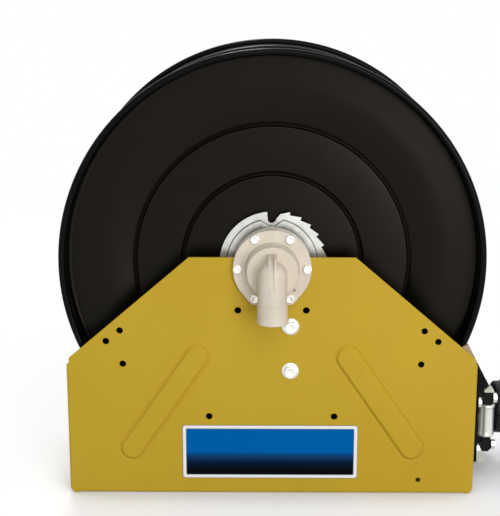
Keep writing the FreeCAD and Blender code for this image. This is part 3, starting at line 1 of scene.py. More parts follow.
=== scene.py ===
import json
import math
import bmesh
import bpy
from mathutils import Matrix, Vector


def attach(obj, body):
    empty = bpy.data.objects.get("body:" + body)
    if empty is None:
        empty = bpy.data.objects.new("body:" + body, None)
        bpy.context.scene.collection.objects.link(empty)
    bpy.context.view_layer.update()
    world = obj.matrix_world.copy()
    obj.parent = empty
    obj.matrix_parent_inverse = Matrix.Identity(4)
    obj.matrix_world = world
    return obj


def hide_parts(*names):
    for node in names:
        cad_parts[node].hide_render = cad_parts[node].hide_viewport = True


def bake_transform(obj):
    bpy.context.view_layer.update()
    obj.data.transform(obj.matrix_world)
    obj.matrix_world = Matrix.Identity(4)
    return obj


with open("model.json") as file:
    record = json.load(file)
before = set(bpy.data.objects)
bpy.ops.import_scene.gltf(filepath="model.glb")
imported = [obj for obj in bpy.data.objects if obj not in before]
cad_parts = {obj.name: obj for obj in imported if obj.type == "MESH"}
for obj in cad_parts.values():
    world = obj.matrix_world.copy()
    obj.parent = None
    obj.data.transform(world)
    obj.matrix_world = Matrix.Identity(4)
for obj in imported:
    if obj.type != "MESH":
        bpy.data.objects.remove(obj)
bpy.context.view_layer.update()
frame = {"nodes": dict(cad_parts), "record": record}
nodes = frame["nodes"]

MM = 0.001

# Sizes in metres, the same as the solids'
HUB = 0.3995
HOSE = 0.038
LAYER = 0.0382
HOSE_GAP = 0.0004
DRUM_RADIUS = 0.140
FIRST_TURN_Y = -0.0675
RESTING_TURN_Y = -0.033
TURN_PITCH = 0.0386
CHANNEL_RADIUS = DRUM_RADIUS + LAYER + HOSE / 2 + HOSE_GAP
LAYER_RADIUS = DRUM_RADIUS + 2 * LAYER + HOSE / 2 + HOSE_GAP
INNER_TURNS_Y = (-0.0700, 0.0700, -0.0322)
GUIDE_POINT = Vector((0.372, 0.0, 0.1075))
TAIL_ROUTE = [(0.484, 0.0, 0.1075), (0.5538, 0.0015, 0.0862), (0.6143, 0.005, 0.0454), (0.684, 0.011, 0.024),
              (0.750, 0.019, 0.024)]
PAWL_EYE = (0.054745, -0.1069, 0.28356)
SPRING_ANCHOR = (0.031, -0.1069, 0.2209)

# Sizes in millimetres, the same as the solids': the side panels' faces, the latch and the bolts of the hose stop
OUTER = 139.5
INNER = 135.5
LATCH_X = 31.0
PAWL_BOLT_Z = 298.4
SPRING_BOLT_Z = 220.9
STOP_BOLTS = [(x, y) for x in (413.66, 440.94) for y in (-36.0, 36.0)]


def linked(name, data):
    """A new object of that data in the scene."""
    obj = bpy.data.objects.new(name, data)
    bpy.context.scene.collection.objects.link(obj)
    return obj


# Materials

class Nodes:
    """A material's node tree with short calls for what the materials here have in common."""

    def __init__(self, name):
        self.material = bpy.data.materials.new(name)
        self.material.use_nodes = True
        self.tree = self.material.node_tree
        self.shader = self.tree.nodes["Principled BSDF"]
        self.place = self.new("ShaderNodeTexCoord").outputs["Object"]

    def new(self, kind, **values):
        node = self.tree.nodes.new(kind)
        for name, value in values.items():
            setattr(node, name, value)
        return node

    def link(self, source, target):
        self.tree.links.new(source, target)

    def put(self, socket, value):
        if hasattr(value, "is_output"):
            self.link(value, socket)
        else:
            socket.default_value = value

    def noise(self, scale, detail=3.0, roughness=0.5, place=None):
        node = self.new("ShaderNodeTexNoise")
        self.link(place or self.place, node.inputs["Vector"])
        node.inputs["Scale"].default_value = scale
        node.inputs["Detail"].default_value = detail
        node.inputs["Roughness"].default_value = roughness
        return node.outputs["Fac"]

    def stretch(self, scale):
        node = self.new("ShaderNodeMapping")
        self.link(self.place, node.inputs["Vector"])
        node.inputs["Scale"].default_value = scale
        return node.outputs["Vector"]

    def span(self, value, low, high, to_low=0.0, to_high=1.0):
        node = self.new("ShaderNodeMapRange")
        self.put(node.inputs["Value"], value)
        for name, number in (("From Min", low), ("From Max", high), ("To Min", to_low), ("To Max", to_high)):
            node.inputs[name].default_value = number
        return node.outputs["Result"]

    def math(self, operation, a, b=0.0):
        node = self.new("ShaderNodeMath", operation=operation)
        self.put(node.inputs[0], a)
        self.put(node.inputs[1], b)
        return node.outputs[0]

    def mix(self, factor, a, b):
        node = self.new("ShaderNodeMix", data_type="RGBA")
        self.put(node.inputs["Factor"], factor)
        self.put(node.inputs[6], a)
        self.put(node.inputs[7], b)
        return node.outputs[2]

    def axes(self):
        """The place's X, Y and Z."""
        split = self.new("ShaderNodeSeparateXYZ")
        self.link(self.place, split.inputs[0])
        return split.outputs

    def length(self, a, b):
        return self.math("SQRT", self.math("ADD", self.math("MULTIPLY", a, a), self.math("MULTIPLY", b, b)))

    def bump(self, height, strength, distance, edge=0.0006):
        """Surface grain over edges that are broken by the given radius."""
        broken = self.new("ShaderNodeBevel", samples=6)
        broken.inputs["Radius"].default_value = edge
        node = self.new("ShaderNodeBump")
        self.link(broken.outputs["Normal"], node.inputs["Normal"])
        self.link(height, node.inputs["Height"])
        node.inputs["Strength"].default_value = strength
        node.inputs["Distance"].default_value = distance
        self.link(node.outputs["Normal"], self.shader.inputs["Normal"])

    def finish(self, colour, roughness, metallic=0.0, specular=0.5, tint=None):
        self.put(self.shader.inputs["Base Color"], colour)
        self.put(self.shader.inputs["Roughness"], roughness)
        self.shader.inputs["Metallic"].default_value = metallic
        self.shader.inputs["Specular IOR Level"].default_value = specular
        if tint:
            self.shader.inputs["Specular Tint"].default_value = tint
        return self.material


def rgb(red, green, blue):
    return (red, green, blue, 1.0)


def painted(name, colour, darker, roughness, specular, grain, peel=0.08, tint=None):
    """Enamel: a faint cloudiness, fine orange peel and a little dust in the gloss."""
    n = Nodes(name)
    cloud = n.noise(5.0, 4.0)
    tone = n.mix(n.span(cloud, 0.35, 0.7), rgb(*colour), rgb(*darker))
    rough = n.span(n.noise(22.0, 5.0, 0.65), 0.3, 0.75, roughness, roughness + 0.08)
    n.bump(n.noise(grain, 2.0), peel, 0.0004)
    return n.finish(tone, rough, specular=specular, tint=tint)


def metal(name, colour, darker, roughness, scale):
    """Plated or bare metal with a mottled plating and small scratches in its gloss."""
    n = Nodes(name)
    blotch = n.noise(scale, 5.0, 0.6)
    scratches = n.noise(900.0, 2.0, 0.5, n.stretch((1.0, 0.08, 0.35)))
    tone = n.mix(n.span(blotch, 0.3, 0.72), rgb(*colour), rgb(*darker))
    rough = n.span(scratches, 0.3, 0.7, roughness, roughness + 0.14)
    n.bump(n.noise(scale * 6.0, 3.0), 0.12, 0.0003)
    return n.finish(tone, rough, metallic=1.0)


def cast(name, boss=None):
    """A blasted casting: fine pitted skin, rubbed lighter here and there. boss is the radius of a round boss in the
    swivel's face, with painted shade in the crease at its foot."""
    n = Nodes(name)
    blotch = n.noise(24.0, 6.0, 0.6)
    pits = n.noise(700.0, 4.0, 0.6)
    tone = n.mix(n.span(blotch, 0.32, 0.68), rgb(0.76, 0.68, 0.57), rgb(0.67, 0.59, 0.49))
    if boss:
        axes = n.axes()
        reach = n.length(axes["X"], n.math("SUBTRACT", axes["Z"], HUB))
        # painted shade: a dark ring in the crease at the foot of the boss, on the flange face
        crease = n.span(n.math("ABSOLUTE", n.math("SUBTRACT", reach, boss)), 0.0002, 0.0013, 0.6, 0.0)
        at_foot = n.math("LESS_THAN", n.math("ABSOLUTE", n.math("ADD", axes["Y"], 0.151)), 0.003)
        tone = n.mix(n.math("MULTIPLY", crease, at_foot), tone, rgb(0.10, 0.08, 0.06))
    n.bump(pits, 0.12, 0.0004, 0.001)
    return n.finish(tone, n.span(pits, 0.3, 0.7, 0.34, 0.49), metallic=0.05, specular=0.3)


def rubber(name, colour, roughness, cloth=0.35):
    """Hose rubber with the fine cloth mark of its wrapping and dust in places."""
    n = Nodes(name)
    dust = n.noise(18.0, 6.0, 0.7)
    tone = n.mix(n.span(dust, 0.5, 0.85, 0.0, 0.3), rgb(*colour), rgb(0.06, 0.057, 0.05))
    rough = n.span(dust, 0.3, 0.7, roughness, roughness + 0.2)
    n.bump(n.noise(700.0, 2.0, 0.5), cloth, 0.0005)
    return n.finish(tone, rough, specular=0.25)


def nylon(name, colour):
    """Turned nylon, polished by the hose: a pearly gloss with scuffs."""
    n = Nodes(name)
    scuffs = n.noise(60.0, 5.0, 0.7)
    tone = n.mix(n.span(scuffs, 0.45, 0.8, 0.0, 0.4), rgb(*colour), rgb(*[0.85 * c for c in colour]))
    rough = n.span(scuffs, 0.3, 0.7, 0.16, 0.3)
    n.bump(n.noise(300.0, 3.0), 0.06, 0.0003)
    return n.finish(tone, rough, metallic=0.6)


def arm_paint(name):
    """Satin black over the guide arms; their upper ends, above the panel's lip, are painted a pale sandy tone as a
    painted highlight.
    """
    n = Nodes(name)
    edge = n.math("ADD", n.axes()["Z"], n.math("MULTIPLY", n.noise(90.0), 0.002))
    # painted highlight: a pale sandy tone on the arms' upper ends, above the panel's lip
    painted_highlight = n.mix(n.noise(30.0, 5.0), rgb(0.40, 0.28, 0.15), rgb(0.52, 0.40, 0.27))
    tone = n.mix(n.span(edge, 0.2300, 0.2335), rgb(0.002, 0.002, 0.002), painted_highlight)
    n.bump(n.noise(320.0, 2.0), 0.08, 0.0004)
    return n.finish(tone, n.span(n.noise(22.0, 5.0), 0.3, 0.75, 0.42, 0.5), specular=0.08)


def ratchet_plate(name):
    """Zinc plate with painted shade in the crease round the pressed cup, and a middle darkened as a painted dark
    reflection.
    """
    n = Nodes(name)
    axes = n.axes()
    z = n.math("SUBTRACT", axes["Z"], HUB)
    aside = n.math("ABSOLUTE", n.math("ADD", axes["X"], 0.0009))
    flank = n.math("MULTIPLY", n.math("MAXIMUM", n.math("SUBTRACT", aside, 0.0045), 0.0), 0.67)
    dip = n.math("SUBTRACT", n.math("ABSOLUTE", z), n.math("ADD", flank, 0.0636))
    ring = n.math("SUBTRACT", n.length(axes["X"], z), 0.0760)
    beside = n.math("GREATER_THAN", aside, 0.0185)
    inside = n.math("MAXIMUM", ring, n.math("SUBTRACT", dip, beside))
    # painted shade: a dark line along the crease round the pressed cup
    crease = n.span(n.math("ABSOLUTE", inside), 0.0004, 0.0012, 1.0, 0.0)
    # painted dark reflection: the middle of the wheel, inside the cup, mixed towards a dark grey
    painted_dark_reflection = n.span(inside, -0.011, -0.0045, 0.5, 0.0)
    blotch = n.noise(45.0, 5.0, 0.6)
    plate = n.mix(n.span(blotch, 0.3, 0.72), rgb(0.76, 0.76, 0.73), rgb(0.54, 0.54, 0.50))
    plate = n.mix(painted_dark_reflection, plate, rgb(0.16, 0.17, 0.15))
    tone = n.mix(n.math("MULTIPLY", crease, 0.85), plate, rgb(0.03, 0.03, 0.028))
    scratches = n.noise(900.0, 2.0, 0.5, n.stretch((1.0, 0.08, 0.35)))
    n.bump(n.noise(260.0, 3.0), 0.12, 0.0003)
    return n.finish(tone, n.span(scratches, 0.3, 0.7, 0.26, 0.4), metallic=0.9)


def label_finish():
    """A bare label: pale rounded border, a thin dark line, and a field that falls from blue to near black."""
    n = Nodes("label_finish")
    axes = n.axes()
    x = n.math("ABSOLUTE", n.math("ADD", axes["X"], 0.0025))
    z = n.math("SUBTRACT", axes["Z"], 0.076)

    def inside(half_width, half_height, corner):
        dx = n.math("MAXIMUM", n.math("SUBTRACT", x, half_width - corner), 0.0)
        dz = n.math("MAXIMUM", n.math("SUBTRACT", n.math("ABSOLUTE", z), half_height - corner), 0.0)
        return n.math("LESS_THAN", n.length(dx, dz), corner)

    ramp = n.new("ShaderNodeValToRGB")
    n.link(n.span(z, -0.0405, 0.0405), ramp.inputs["Fac"])
    stops = [(0.0, rgb(0.002, 0.0025, 0.004)), (0.11, rgb(0.003, 0.004, 0.006)), (0.18, rgb(0.002, 0.007, 0.02)),
             (0.25, rgb(0.002, 0.010, 0.033)), (0.31, rgb(0.003, 0.022, 0.07)), (0.38, rgb(0.006, 0.044, 0.145)),
             (0.445, rgb(0.002, 0.069, 0.235)), (0.5, rgb(0.0, 0.122, 0.43)), (1.0, rgb(0.0, 0.120, 0.42))]
    ramp.color_ramp.elements[0].position, ramp.color_ramp.elements[0].color = stops[0]
    ramp.color_ramp.elements[1].position, ramp.color_ramp.elements[1].color = stops[-1]
    for position, colour in stops[1:-1]:
        ramp.color_ramp.elements.new(position).color = colour
    line = n.mix(inside(0.1432, 0.0422, 0.0025), rgb(0.62, 0.64, 0.66), rgb(0.22, 0.30, 0.38))
    field = n.mix(inside(0.1422, 0.0412, 0.002), line, ramp.outputs["Color"])
    rim = n.mix(inside(0.1480, 0.0470, 0.004), rgb(0.36, 0.37, 0.37), rgb(0.93, 0.92, 0.90))
    whole = n.mix(inside(0.1432, 0.0422, 0.0025), rim, field)
    n.bump(n.noise(60.0, 2.0), 0.006, 0.0002, 0.0008)
    return n.finish(whole, n.span(n.noise(40.0, 3.0), 0.3, 0.7, 0.25, 0.34), specular=0.02)


yellow = painted("yellow_enamel", (0.560, 0.374, 0.026), (0.535, 0.352, 0.024), 0.40, 0.16, 260.0)
black_gloss = painted("black_gloss_enamel", (0.0014, 0.0011, 0.0008), (0.002, 0.0016, 0.0012), 0.27, 0.15, 130.0,
                      0.012, rgb(1.0, 0.9, 0.74))
black_rim = painted("black_rim_enamel", (0.0010, 0.0010, 0.0012), (0.0014, 0.0014, 0.0016), 0.16, 0.08, 200.0, 0.03)
# painted shade: a darker, less glossy enamel for the faces in the discs' creases
crease_shade_enamel = painted("black_crease_enamel", (0.001, 0.0007, 0.0004), (0.0014, 0.0009, 0.0006), 0.4, 0.05, 200.0,
                       0.03, rgb(1.0, 0.82, 0.6))
black_satin = painted("black_satin_paint", (0.006, 0.0055, 0.005), (0.009, 0.008, 0.007), 0.42, 0.12, 320.0)
black_matt = painted("black_matt_paint", (0.0015, 0.0015, 0.0015), (0.002, 0.002, 0.002), 0.5, 0.03, 320.0)
arm_black = arm_paint("arm_black_paint")
zinc = metal("zinc_plate", (0.66, 0.66, 0.62), (0.52, 0.52, 0.47), 0.28, 45.0)
# painted shade: a darker copy of the zinc plate, used for the wear plate
shaded_zinc = metal("shaded_zinc_plate", (0.60, 0.60, 0.52), (0.42, 0.42, 0.36), 0.3, 40.0)
bright_zinc = metal("bright_zinc", (0.88, 0.88, 0.87), (0.80, 0.80, 0.78), 0.34, 60.0)
steel = metal("turned_steel", (0.50, 0.50, 0.49), (0.40, 0.40, 0.39), 0.24, 60.0)
spring_steel = metal("blued_spring_steel", (0.18, 0.18, 0.20), (0.11, 0.11, 0.13), 0.3, 50.0)
bronze = metal("bush_bronze", (0.55, 0.36, 0.14), (0.42, 0.27, 0.10), 0.32, 40.0)
casting = cast("blasted_casting")
swivel_casting = cast("swivel_casting", boss=0.0438)
hose_rubber = rubber("hose_rubber", (0.010, 0.010, 0.010), 0.48)
stop_rubber = rubber("stop_rubber", (0.005, 0.005, 0.005), 0.42, 0.2)
roller_nylon = nylon("roller_nylon", (0.80, 0.81, 0.74))
ratchet_zinc = ratchet_plate("ratchet_zinc")
label = label_finish()

FINISHES = {
    "yellow_paint": yellow,
    "black_gloss": black_gloss,
    "black_satin": black_satin,
    "zinc": zinc,
    "steel": steel,
    "spring_steel": spring_steel,
    "bronze": bronze,
    "cast_metal": casting,
    "hose_rubber": stop_rubber,
    "white_nylon": roller_nylon,
    "label": label,
}
OWN_FINISHES = {
    "near_guide_arm": arm_black,
    "far_guide_arm": arm_black,
    "ratchet_wheel": ratchet_zinc,
    "swivel_body": swivel_casting,
}
SLOTS = {entry["node"]: entry["material_slot"] for entry in frame["record"]["subparts"]}

for node, slot in SLOTS.items():
    material = OWN_FINISHES.get(node, FINISHES[slot])
    places = nodes[node].data.materials
    if len(places) == 0:
        places.append(material)
    for i in range(len(places)):
        places[i] = material


# Meshes from rings of points, in millimetres

class Piece:
    """One mesh gathered from closed forms."""

    def __init__(self, name, mesh=None):
        self.name = name
        self.mesh = mesh or bmesh.new()

    def skin(self, rings, closed=False):
        """Joins rings of equal length; the ends are capped unless the row closes on itself."""
        rows = [[self.mesh.verts.new(Vector(point) * MM) for point in ring] for ring in rings]
        pairs = list(zip(rows, rows[1:]))
        if closed:
            pairs.append((rows[-1], rows[0]))
        for a, b in pairs:
            for i in range(len(a)):
                j = (i + 1) % len(a)
                self.mesh.faces.new((a[i], a[j], b[j], b[i]))
        if not closed:
            self.mesh.faces.new(tuple(reversed(rows[0])))
            self.mesh.faces.new(tuple(rows[-1]))
        return self

    def lathe(self, start, axis, profile, sides=48, closed=False, across=None):
        """Turns (distance, radius) pairs about the axis; across holds every ring inside a hexagon."""
        start = Vector(start)
        axis = Vector(axis).normalized()
        side = Vector((0, 0, 1)).cross(axis)
        if side.length < 1e-6:
            side = Vector((1, 0, 0))
        side.normalize()
        other = axis.cross(side)
        rings = []
        for along, radius in profile:
            ring = []
            for i in range(sides):
                turn = 2 * math.pi * i / sides
                reach = radius
                if across:
                    reach = min(radius, across / 2 / math.cos(turn % (math.pi / 3) - math.pi / 6))
                ring.append(start + axis * along + (side * math.cos(turn) + other * math.sin(turn)) * reach)
            rings.append(ring)
        return self.skin(rings, closed)

    def hexagon(self, seat, axis, across, height, nut=False):
        """A head with its corners turned off and a shallow dish on top, or a nut turned at both ends."""
        corner = across / math.sqrt(3)
        top = 0.475 * across
        drop = 0.5 * (corner - top)
        crown = [(height - drop * (1 - s), corner + (top - corner) * s) for s in (0.0, 0.35, 0.7, 1.0)]
        if nut:
            profile = [(height - along, radius) for along, radius in reversed(crown)] + crown
        else:
            profile = [(0.0, corner)] + crown
            profile += [(height, 0.36 * across), (height - 0.35, 0.32 * across), (height - 0.35, 0.5)]
        return self.lathe(seat, axis, profile, across=across)

    def rod(self, start, axis, length, radius, plain, pitch=1.25):
        """A shank, threaded past its plain part, with a turned point."""
        profile = [(0.0, radius)]
        place = plain
        while place + pitch < length - 1:
            profile += [(place, radius), (place + pitch / 2, radius - 0.55 * pitch)]
            place += pitch
        profile += [(length - 1, radius), (length, radius - 1)]
        return self.lathe(start, axis, profile, 24)

    def to_object(self):
        """The mesh as an object, its faces turned outwards; the piece's own mesh is used up."""
        bmesh.ops.recalc_face_normals(self.mesh, faces=self.mesh.faces)
        data = bpy.data.meshes.new(self.name)
        self.mesh.to_mesh(data)
        self.mesh.free()
        return linked(self.name, data)

    def finish(self, material, body, *stands_for, sharp=35.0):
        """The piece as a visible object of that body, in place of solids of the CAD."""
        obj = self.to_object()
        data = obj.data
        data.materials.append(material)
        data.polygons.foreach_set("use_smooth", [True] * len(data.polygons))
        data.set_sharp_from_angle(angle=math.radians(sharp))
        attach(obj, body)
        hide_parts(*stands_for)
        return obj


def carved(blank, *cuts):
    """The mesh of an object after boolean cuts of (operation, piece); the object and the pieces are used up."""
    helpers = [blank]
    for operation, piece in cuts:
        helpers.append(piece.to_object())
        cut = blank.modifiers.new(operation, "BOOLEAN")
        cut.operation = operation
        cut.object = helpers[-1]
    mesh = bmesh.new()
    mesh.from_object(blank, bpy.context.evaluated_depsgraph_get())
    for helper in helpers:
        bpy.data.objects.remove(helper)
    return mesh


def softened(points, radius, steps):
    """The corners of a line of (x, y) points, each rounded by a short curve."""
    line = [Vector((*point, 0)) for point in points]
    result = [line[0]]
    for a, b, c in zip(line, line[1:], line[2:]):
        reach = min(radius, 0.45 * (b - a).length, 0.45 * (c - b).length)
        p = b + (a - b).normalized() * reach
        q = b + (c - b).normalized() * reach
        for i in range(steps + 1):
            s = i / steps
            result.append(p * (1 - s) ** 2 + b * (2 * s * (1 - s)) + q * s ** 2)
    return result + [line[-1]]


def circle_places(radius, first=0.0):
    """Six places (x, z) round the hub."""
    turns = [math.radians(first + 60.0 * i) for i in range(6)]
    return [(radius * math.cos(turn), HUB / MM + radius * math.sin(turn)) for turn in turns]


# Fasteners

# The heads' width across the flats, the shanks' radius and the length of their thread
HEAD = 13.0
STUD = 4.0
THREAD = 16.0

FLANGE_CIRCLE = circle_places(57.5)
ARBOR_PLACES = [(x, z) for x, z in FLANGE_CIRCLE if z < 416.0]
HUB_CIRCLE = circle_places(55.0, 30.0)
CASE_CIRCLE = circle_places(129.0)


def bolts_along_y(node, body, places, side, seat, head, end, lock=None):
    """Bolts across the reel, heads outwards: seat, end and lock are distances from the middle plane."""
    piece = Piece(node.replace("bolts", "bolt_set"))
    for x, z in places:
        piece.hexagon((x, side * seat, z), (0, side, 0), HEAD, head)
        piece.rod((x, side * seat, z), (0, -side, 0), seat - end, STUD, max(seat - end - THREAD, 2))
        if lock:
            piece.hexagon((x, side * lock, z), (0, -side, 0), HEAD, 6.5, nut=True)
    return piece.finish(bright_zinc, body, node)


bolts_along_y("swivel_bolts", "frame", FLANGE_CIRCLE, -1, 149.5, 5.5, 125.5)
bolts_along_y("arbor_bolts", "frame", ARBOR_PLACES, 1, 149.5, 5.5, 128.0, INNER)
bolts_along_y("near_hub_bolts", "spool", HUB_CIRCLE, -1, 112.4, 5.3, 85.9, 93.9)
bolts_along_y("far_hub_bolts", "spool", HUB_CIRCLE, 1, 98.9, 5.3, 77.9, 85.9)
bolts_along_y("case_bolts", "spool", CASE_CIRCLE, 1, 98.9, 5.3, 85.9, 93.9)


def base_bolt_set():
    piece = Piece("base_bolt_set")
    for y in (-117.0, 117.0):
        for x in (-185.0, 0.0, 185.0):
            piece.lathe((x, y, 0), (0, 0, 1), [(0.2, 3.0), (0.2, 7.6), (0.5, 7.9), (4.0, STUD)])
            piece.rod((x, y, 4), (0, 0, 1), 12.0, STUD, 3.0)
            piece.hexagon((x, y, 8), (0, 0, 1), HEAD, 6.5, nut=True)
    return piece.finish(zinc, "frame", "base_bolts")


def arm_screw_set():
    """Countersunk screws whose heads lie in the panel, on spacers that hold the arm off it."""
    piece = Piece("arm_screw_set")
    shank = 2.875
    for x, z in ((254.1, 290.7), (277.6, 272.1), (250.2, 232.6)):
        for side in (-1, 1):
            inward = (0, -side, 0)
            piece.lathe((x, side * OUTER, z), inward,
                        [(0.8, 0.4), (2.6, 0.5), (2.6, 2.2), (0.9, 2.6), (0.3, 4.6), (0.5, 5.5), (4.0, shank)])
            piece.rod((x, side * INNER, z), inward, 14.5, shank, 8.0, 1.0)
            piece.lathe((x, side * INNER, z), inward, [(0, 7.4), (0.5, 8.0), (4.0, 8.0), (4.5, 7.4)])
            piece.hexagon((x, side * 127.0, z), inward, 10.0, 5.0, nut=True)
    return piece.finish(black_matt, "frame", "arm_screws")


def latch_bolt(name, node, z, *sleeves):
    """A flanged hexagon bolt through the near panel, its nut inside, and turned forms (y, profile) along it."""
    piece = Piece(name)
    piece.lathe((LATCH_X, -OUTER, z), (0, -1, 0), [(0, 14.2), (0.5, 14.5), (1.2, 14.3), (2.4, 12.0), (3.0, 11.4)])
    piece.hexagon((LATCH_X, -OUTER - 3, z), (0, -1, 0), 19.0, 8.0)
    piece.hexagon((LATCH_X, -INNER, z), (0, 1, 0), 19.0, 8.0, nut=True)
    for y, profile in sleeves:
        piece.lathe((LATCH_X, y, z), (0, 1, 0), profile)
    return piece.finish(bright_zinc, "frame", node)


def bar_bolt_set():
    """Through bolts of the roller bars: a head in front, a spacer tube behind the bar, a nut inside."""
    piece = Piece("bar_bolt_set")
    places = [(y, z) for y in (-54.0, 54.0) for z in (56.5, 143.5)]
    for y, z in places:
        piece.lathe((361.0, y, z), (1, 0, 0), [(0, 6.6), (0.4, 7.0), (11.1, 7.0), (11.5, 6.6)])
    tubes = len(piece.mesh.faces)
    for y, z in places:
        piece.hexagon((389.5, y, z), (1, 0, 0), 15.0, 7.0)
        piece.rod((389.5, y, z), (-1, 0, 0), 46.5, STUD, 30.0)
        piece.hexagon((351.0, y, z), (-1, 0, 0), HEAD, 6.5, nut=True)
    obj = piece.finish(bright_zinc, "frame", "bar_bolts")
    obj.data.materials.append(black_satin)
    for face in obj.data.polygons[:tubes]:
        face.material_index = 1
    return obj


def side_bolt_set():
    piece = Piece("side_bolt_set")
    for y in (-73.4, 73.4):
        for z in (56.0, 142.0):
            piece.hexagon((347.0, y, z), (-1, 0, 0), 17.0, 6.5)
            piece.rod((347.0, y, z), (1, 0, 0), 20.0, 5.0, 5.0, 1.5)
            piece.hexagon((357.0, y, z), (1, 0, 0), 15.0, 8.5, nut=True)
    return piece.finish(bright_zinc, "frame", "side_bolts")


def stop_bolt_set():
    piece = Piece("stop_bolt_set")
    for x, y in STOP_BOLTS:
        piece.hexagon((x, y, 131.5), (0, 0, 1), HEAD, 5.5)
        piece.rod((x, y, 131.5), (0, 0, -1), 55.0, STUD, 36.0)
        piece.hexagon((x, y, 83.5), (0, 0, -1), HEAD, 6.5, nut=True)
    return piece.finish(zinc, "frame", "hose_stop_bolts")


base_bolt_set()
arm_screw_set()
latch_bolt("pawl_shoulder_bolt", "pawl_bolt", PAWL_BOLT_Z,
           (-OUTER, [(0, 6.0), (39.0, 6.0), (39.6, 5.4)]),
           (-127.5, [(0, 9.0), (0.5, 9.5), (16.8, 9.5), (17.3, 9.0)]),
           (-103.6, [(0, 9.2), (0.3, 9.5), (1.7, 9.5), (2.0, 9.2)]))
latch_bolt("spring_anchor_bolt", "spring_bolt", SPRING_BOLT_Z,
           (-OUTER, [(0, 6.0), (30.2, 6.0), (30.8, 4.5), (34.4, 4.5), (35.0, 6.0), (37.0, 6.0), (37.6, 5.4)]))
bar_bolt_set()
side_bolt_set()
stop_bolts = stop_bolt_set()


# Spool discs

# The levels of a disc's hub, shelf and face as distances from the middle plane, and the radii of its creases
DISC_LEVELS = (96.4, 92.9, 89.4)
CREASES = ((147.8, 151.4), (229.2, 233.2))
DISC_SIDES = 192
BEAD_POINTS = 20


def disc_section(steps, corner):
    """A line down a disc's steps and over its wall, with bends of that radius in the steps."""
    face = DISC_LEVELS[-1]
    wall = [(face, 300.0), (face, 339.0), (92.5, 343.4), (118.0, 345.4)]
    return softened(steps, corner, 4) + softened(wall, 5.0, 8)


def spun_disc(name, side, node):
    """A spun disc: two stamped steps with a crease at their feet, a dished wall and a rolled rim."""
    hub, shelf, face = DISC_LEVELS
    front = disc_section([(hub, 32.0), (hub, 144.6), (shelf - 1.6, 147.4), (shelf - 1.8, 149.4), (shelf - 1.6, 151.2),
                          (shelf, 153.2), (shelf, 226.0), (face - 1.6, 228.7), (face - 1.8, 231.2),
                          (face - 1.6, 233.2), (face, 235.2)], 1.2)
    plain = disc_section([(hub, 32.0), (hub, 145.4), (shelf, 148.6), (shelf, 227.4), (face, 230.6), (face, 280.0)], 1.4)
    back = []
    for before, here, after in zip([plain[0]] + plain, plain, plain[1:] + [plain[-1]]):
        run = (after - before).normalized()
        back.append(here + Vector((-run.y, run.x, 0)) * 2.5)
    loop = [(point.x, point.y) for point in front + list(reversed(back))]
    turns = [2 * math.pi * i / BEAD_POINTS for i in range(BEAD_POINTS)]
    bead = [(119.4 + 5.75 * math.cos(turn), 349.85 + 5.75 * math.sin(turn)) for turn in turns]
    piece = Piece(name)
    for profile in (loop, bead):
        piece.lathe((0, 0, HUB / MM), (0, side, 0), profile, DISC_SIDES, closed=True)
    obj = piece.finish(black_gloss, "spool", node, sharp=50.0)
    obj.data.materials.append(black_rim)
    obj.data.materials.append(crease_shade_enamel)
    # painted shade: faces within the creases' radii take the darker crease enamel
    for polygon in obj.data.polygons:
        reach = math.hypot(polygon.center.x, polygon.center.z - HUB) / MM
        if any(low < reach < high for low, high in CREASES):
            polygon.material_index = 2
    for polygon in obj.data.polygons[-BEAD_POINTS * DISC_SIDES:]:
        polygon.material_index = 1
    return obj


spun_disc("near_spun_disc", -1, "near_disc")
spun_disc("far_spun_disc", 1, "far_disc")


# Near panel

RIB_TOP = (127.0, 243.5)
RIB_FOOT = (237.3, 82.0)
RIB_RADIUS = 20.5
RIB_MARGIN = 10.0
RIB_FRONT = [(6.2, 4.0), (5.2, 3.9), (4.3, 3.4), (2.9, 1.8), (1.6, 0.2), (0.7, -0.8), (-0.1, -1.2), (-0.9, -1.0),
             (-1.8, -0.3), (-2.6, 0.0), (-4.0, 0.0), (-RIB_MARGIN, 0.0)]
RIB_BACK = [(-RIB_MARGIN, 0.0), (0.6, 0.0), (1.6, 0.3), (3.2, 1.9), (4.8, 3.3), (6.2, 3.7)]


def capsule(side, radius, y):
    """A ring round the run of one rib."""
    top = Vector((side * RIB_TOP[0], y, RIB_TOP[1]))
    foot = Vector((side * RIB_FOOT[0], y, RIB_FOOT[1]))
    along = (foot - top).normalized()
    across = Vector((-along.z, 0, along.x))
    ring = []
    steps = 16
    for centre, first in ((foot, 90.0), (top, 270.0)):
        for i in range(steps + 1):
            turn = math.radians(first - 180.0 * i / steps)
            ring.append(centre + (along * math.cos(turn) + across * math.sin(turn)) * radius)
    return ring


def ribbed_panel():
    """The near panel with its two stamped ribs formed afresh: soft flanks, a crease at their feet, a pocket behind."""
    cutter = Piece("rib_cutter")
    stamp = Piece("rib_stamp")
    for side in (-1, 1):
        cutter.skin([capsule(side, RIB_RADIUS + RIB_MARGIN - 1, y) for y in (-OUTER - 6, 2 - INNER)])
        rings = [capsule(side, RIB_RADIUS - inset, -OUTER - rise) for inset, rise in RIB_FRONT]
        stamp.skin(rings + [capsule(side, RIB_RADIUS - inset, -INNER - rise) for inset, rise in RIB_BACK])
    blank = linked("panel_blank", nodes["near_side_panel"].data.copy())
    panel = Piece("ribbed_near_panel", carved(blank, ("DIFFERENCE", cutter), ("UNION", stamp)))
    for face in panel.mesh.faces:
        face.material_index = 0
    obj = panel.finish(yellow, "frame", "near_side_panel", sharp=40.0)
    weights = obj.modifiers.new("weights", "WEIGHTED_NORMAL")
    weights.keep_sharp = True
    return obj


ribbed_panel()


# Rollers

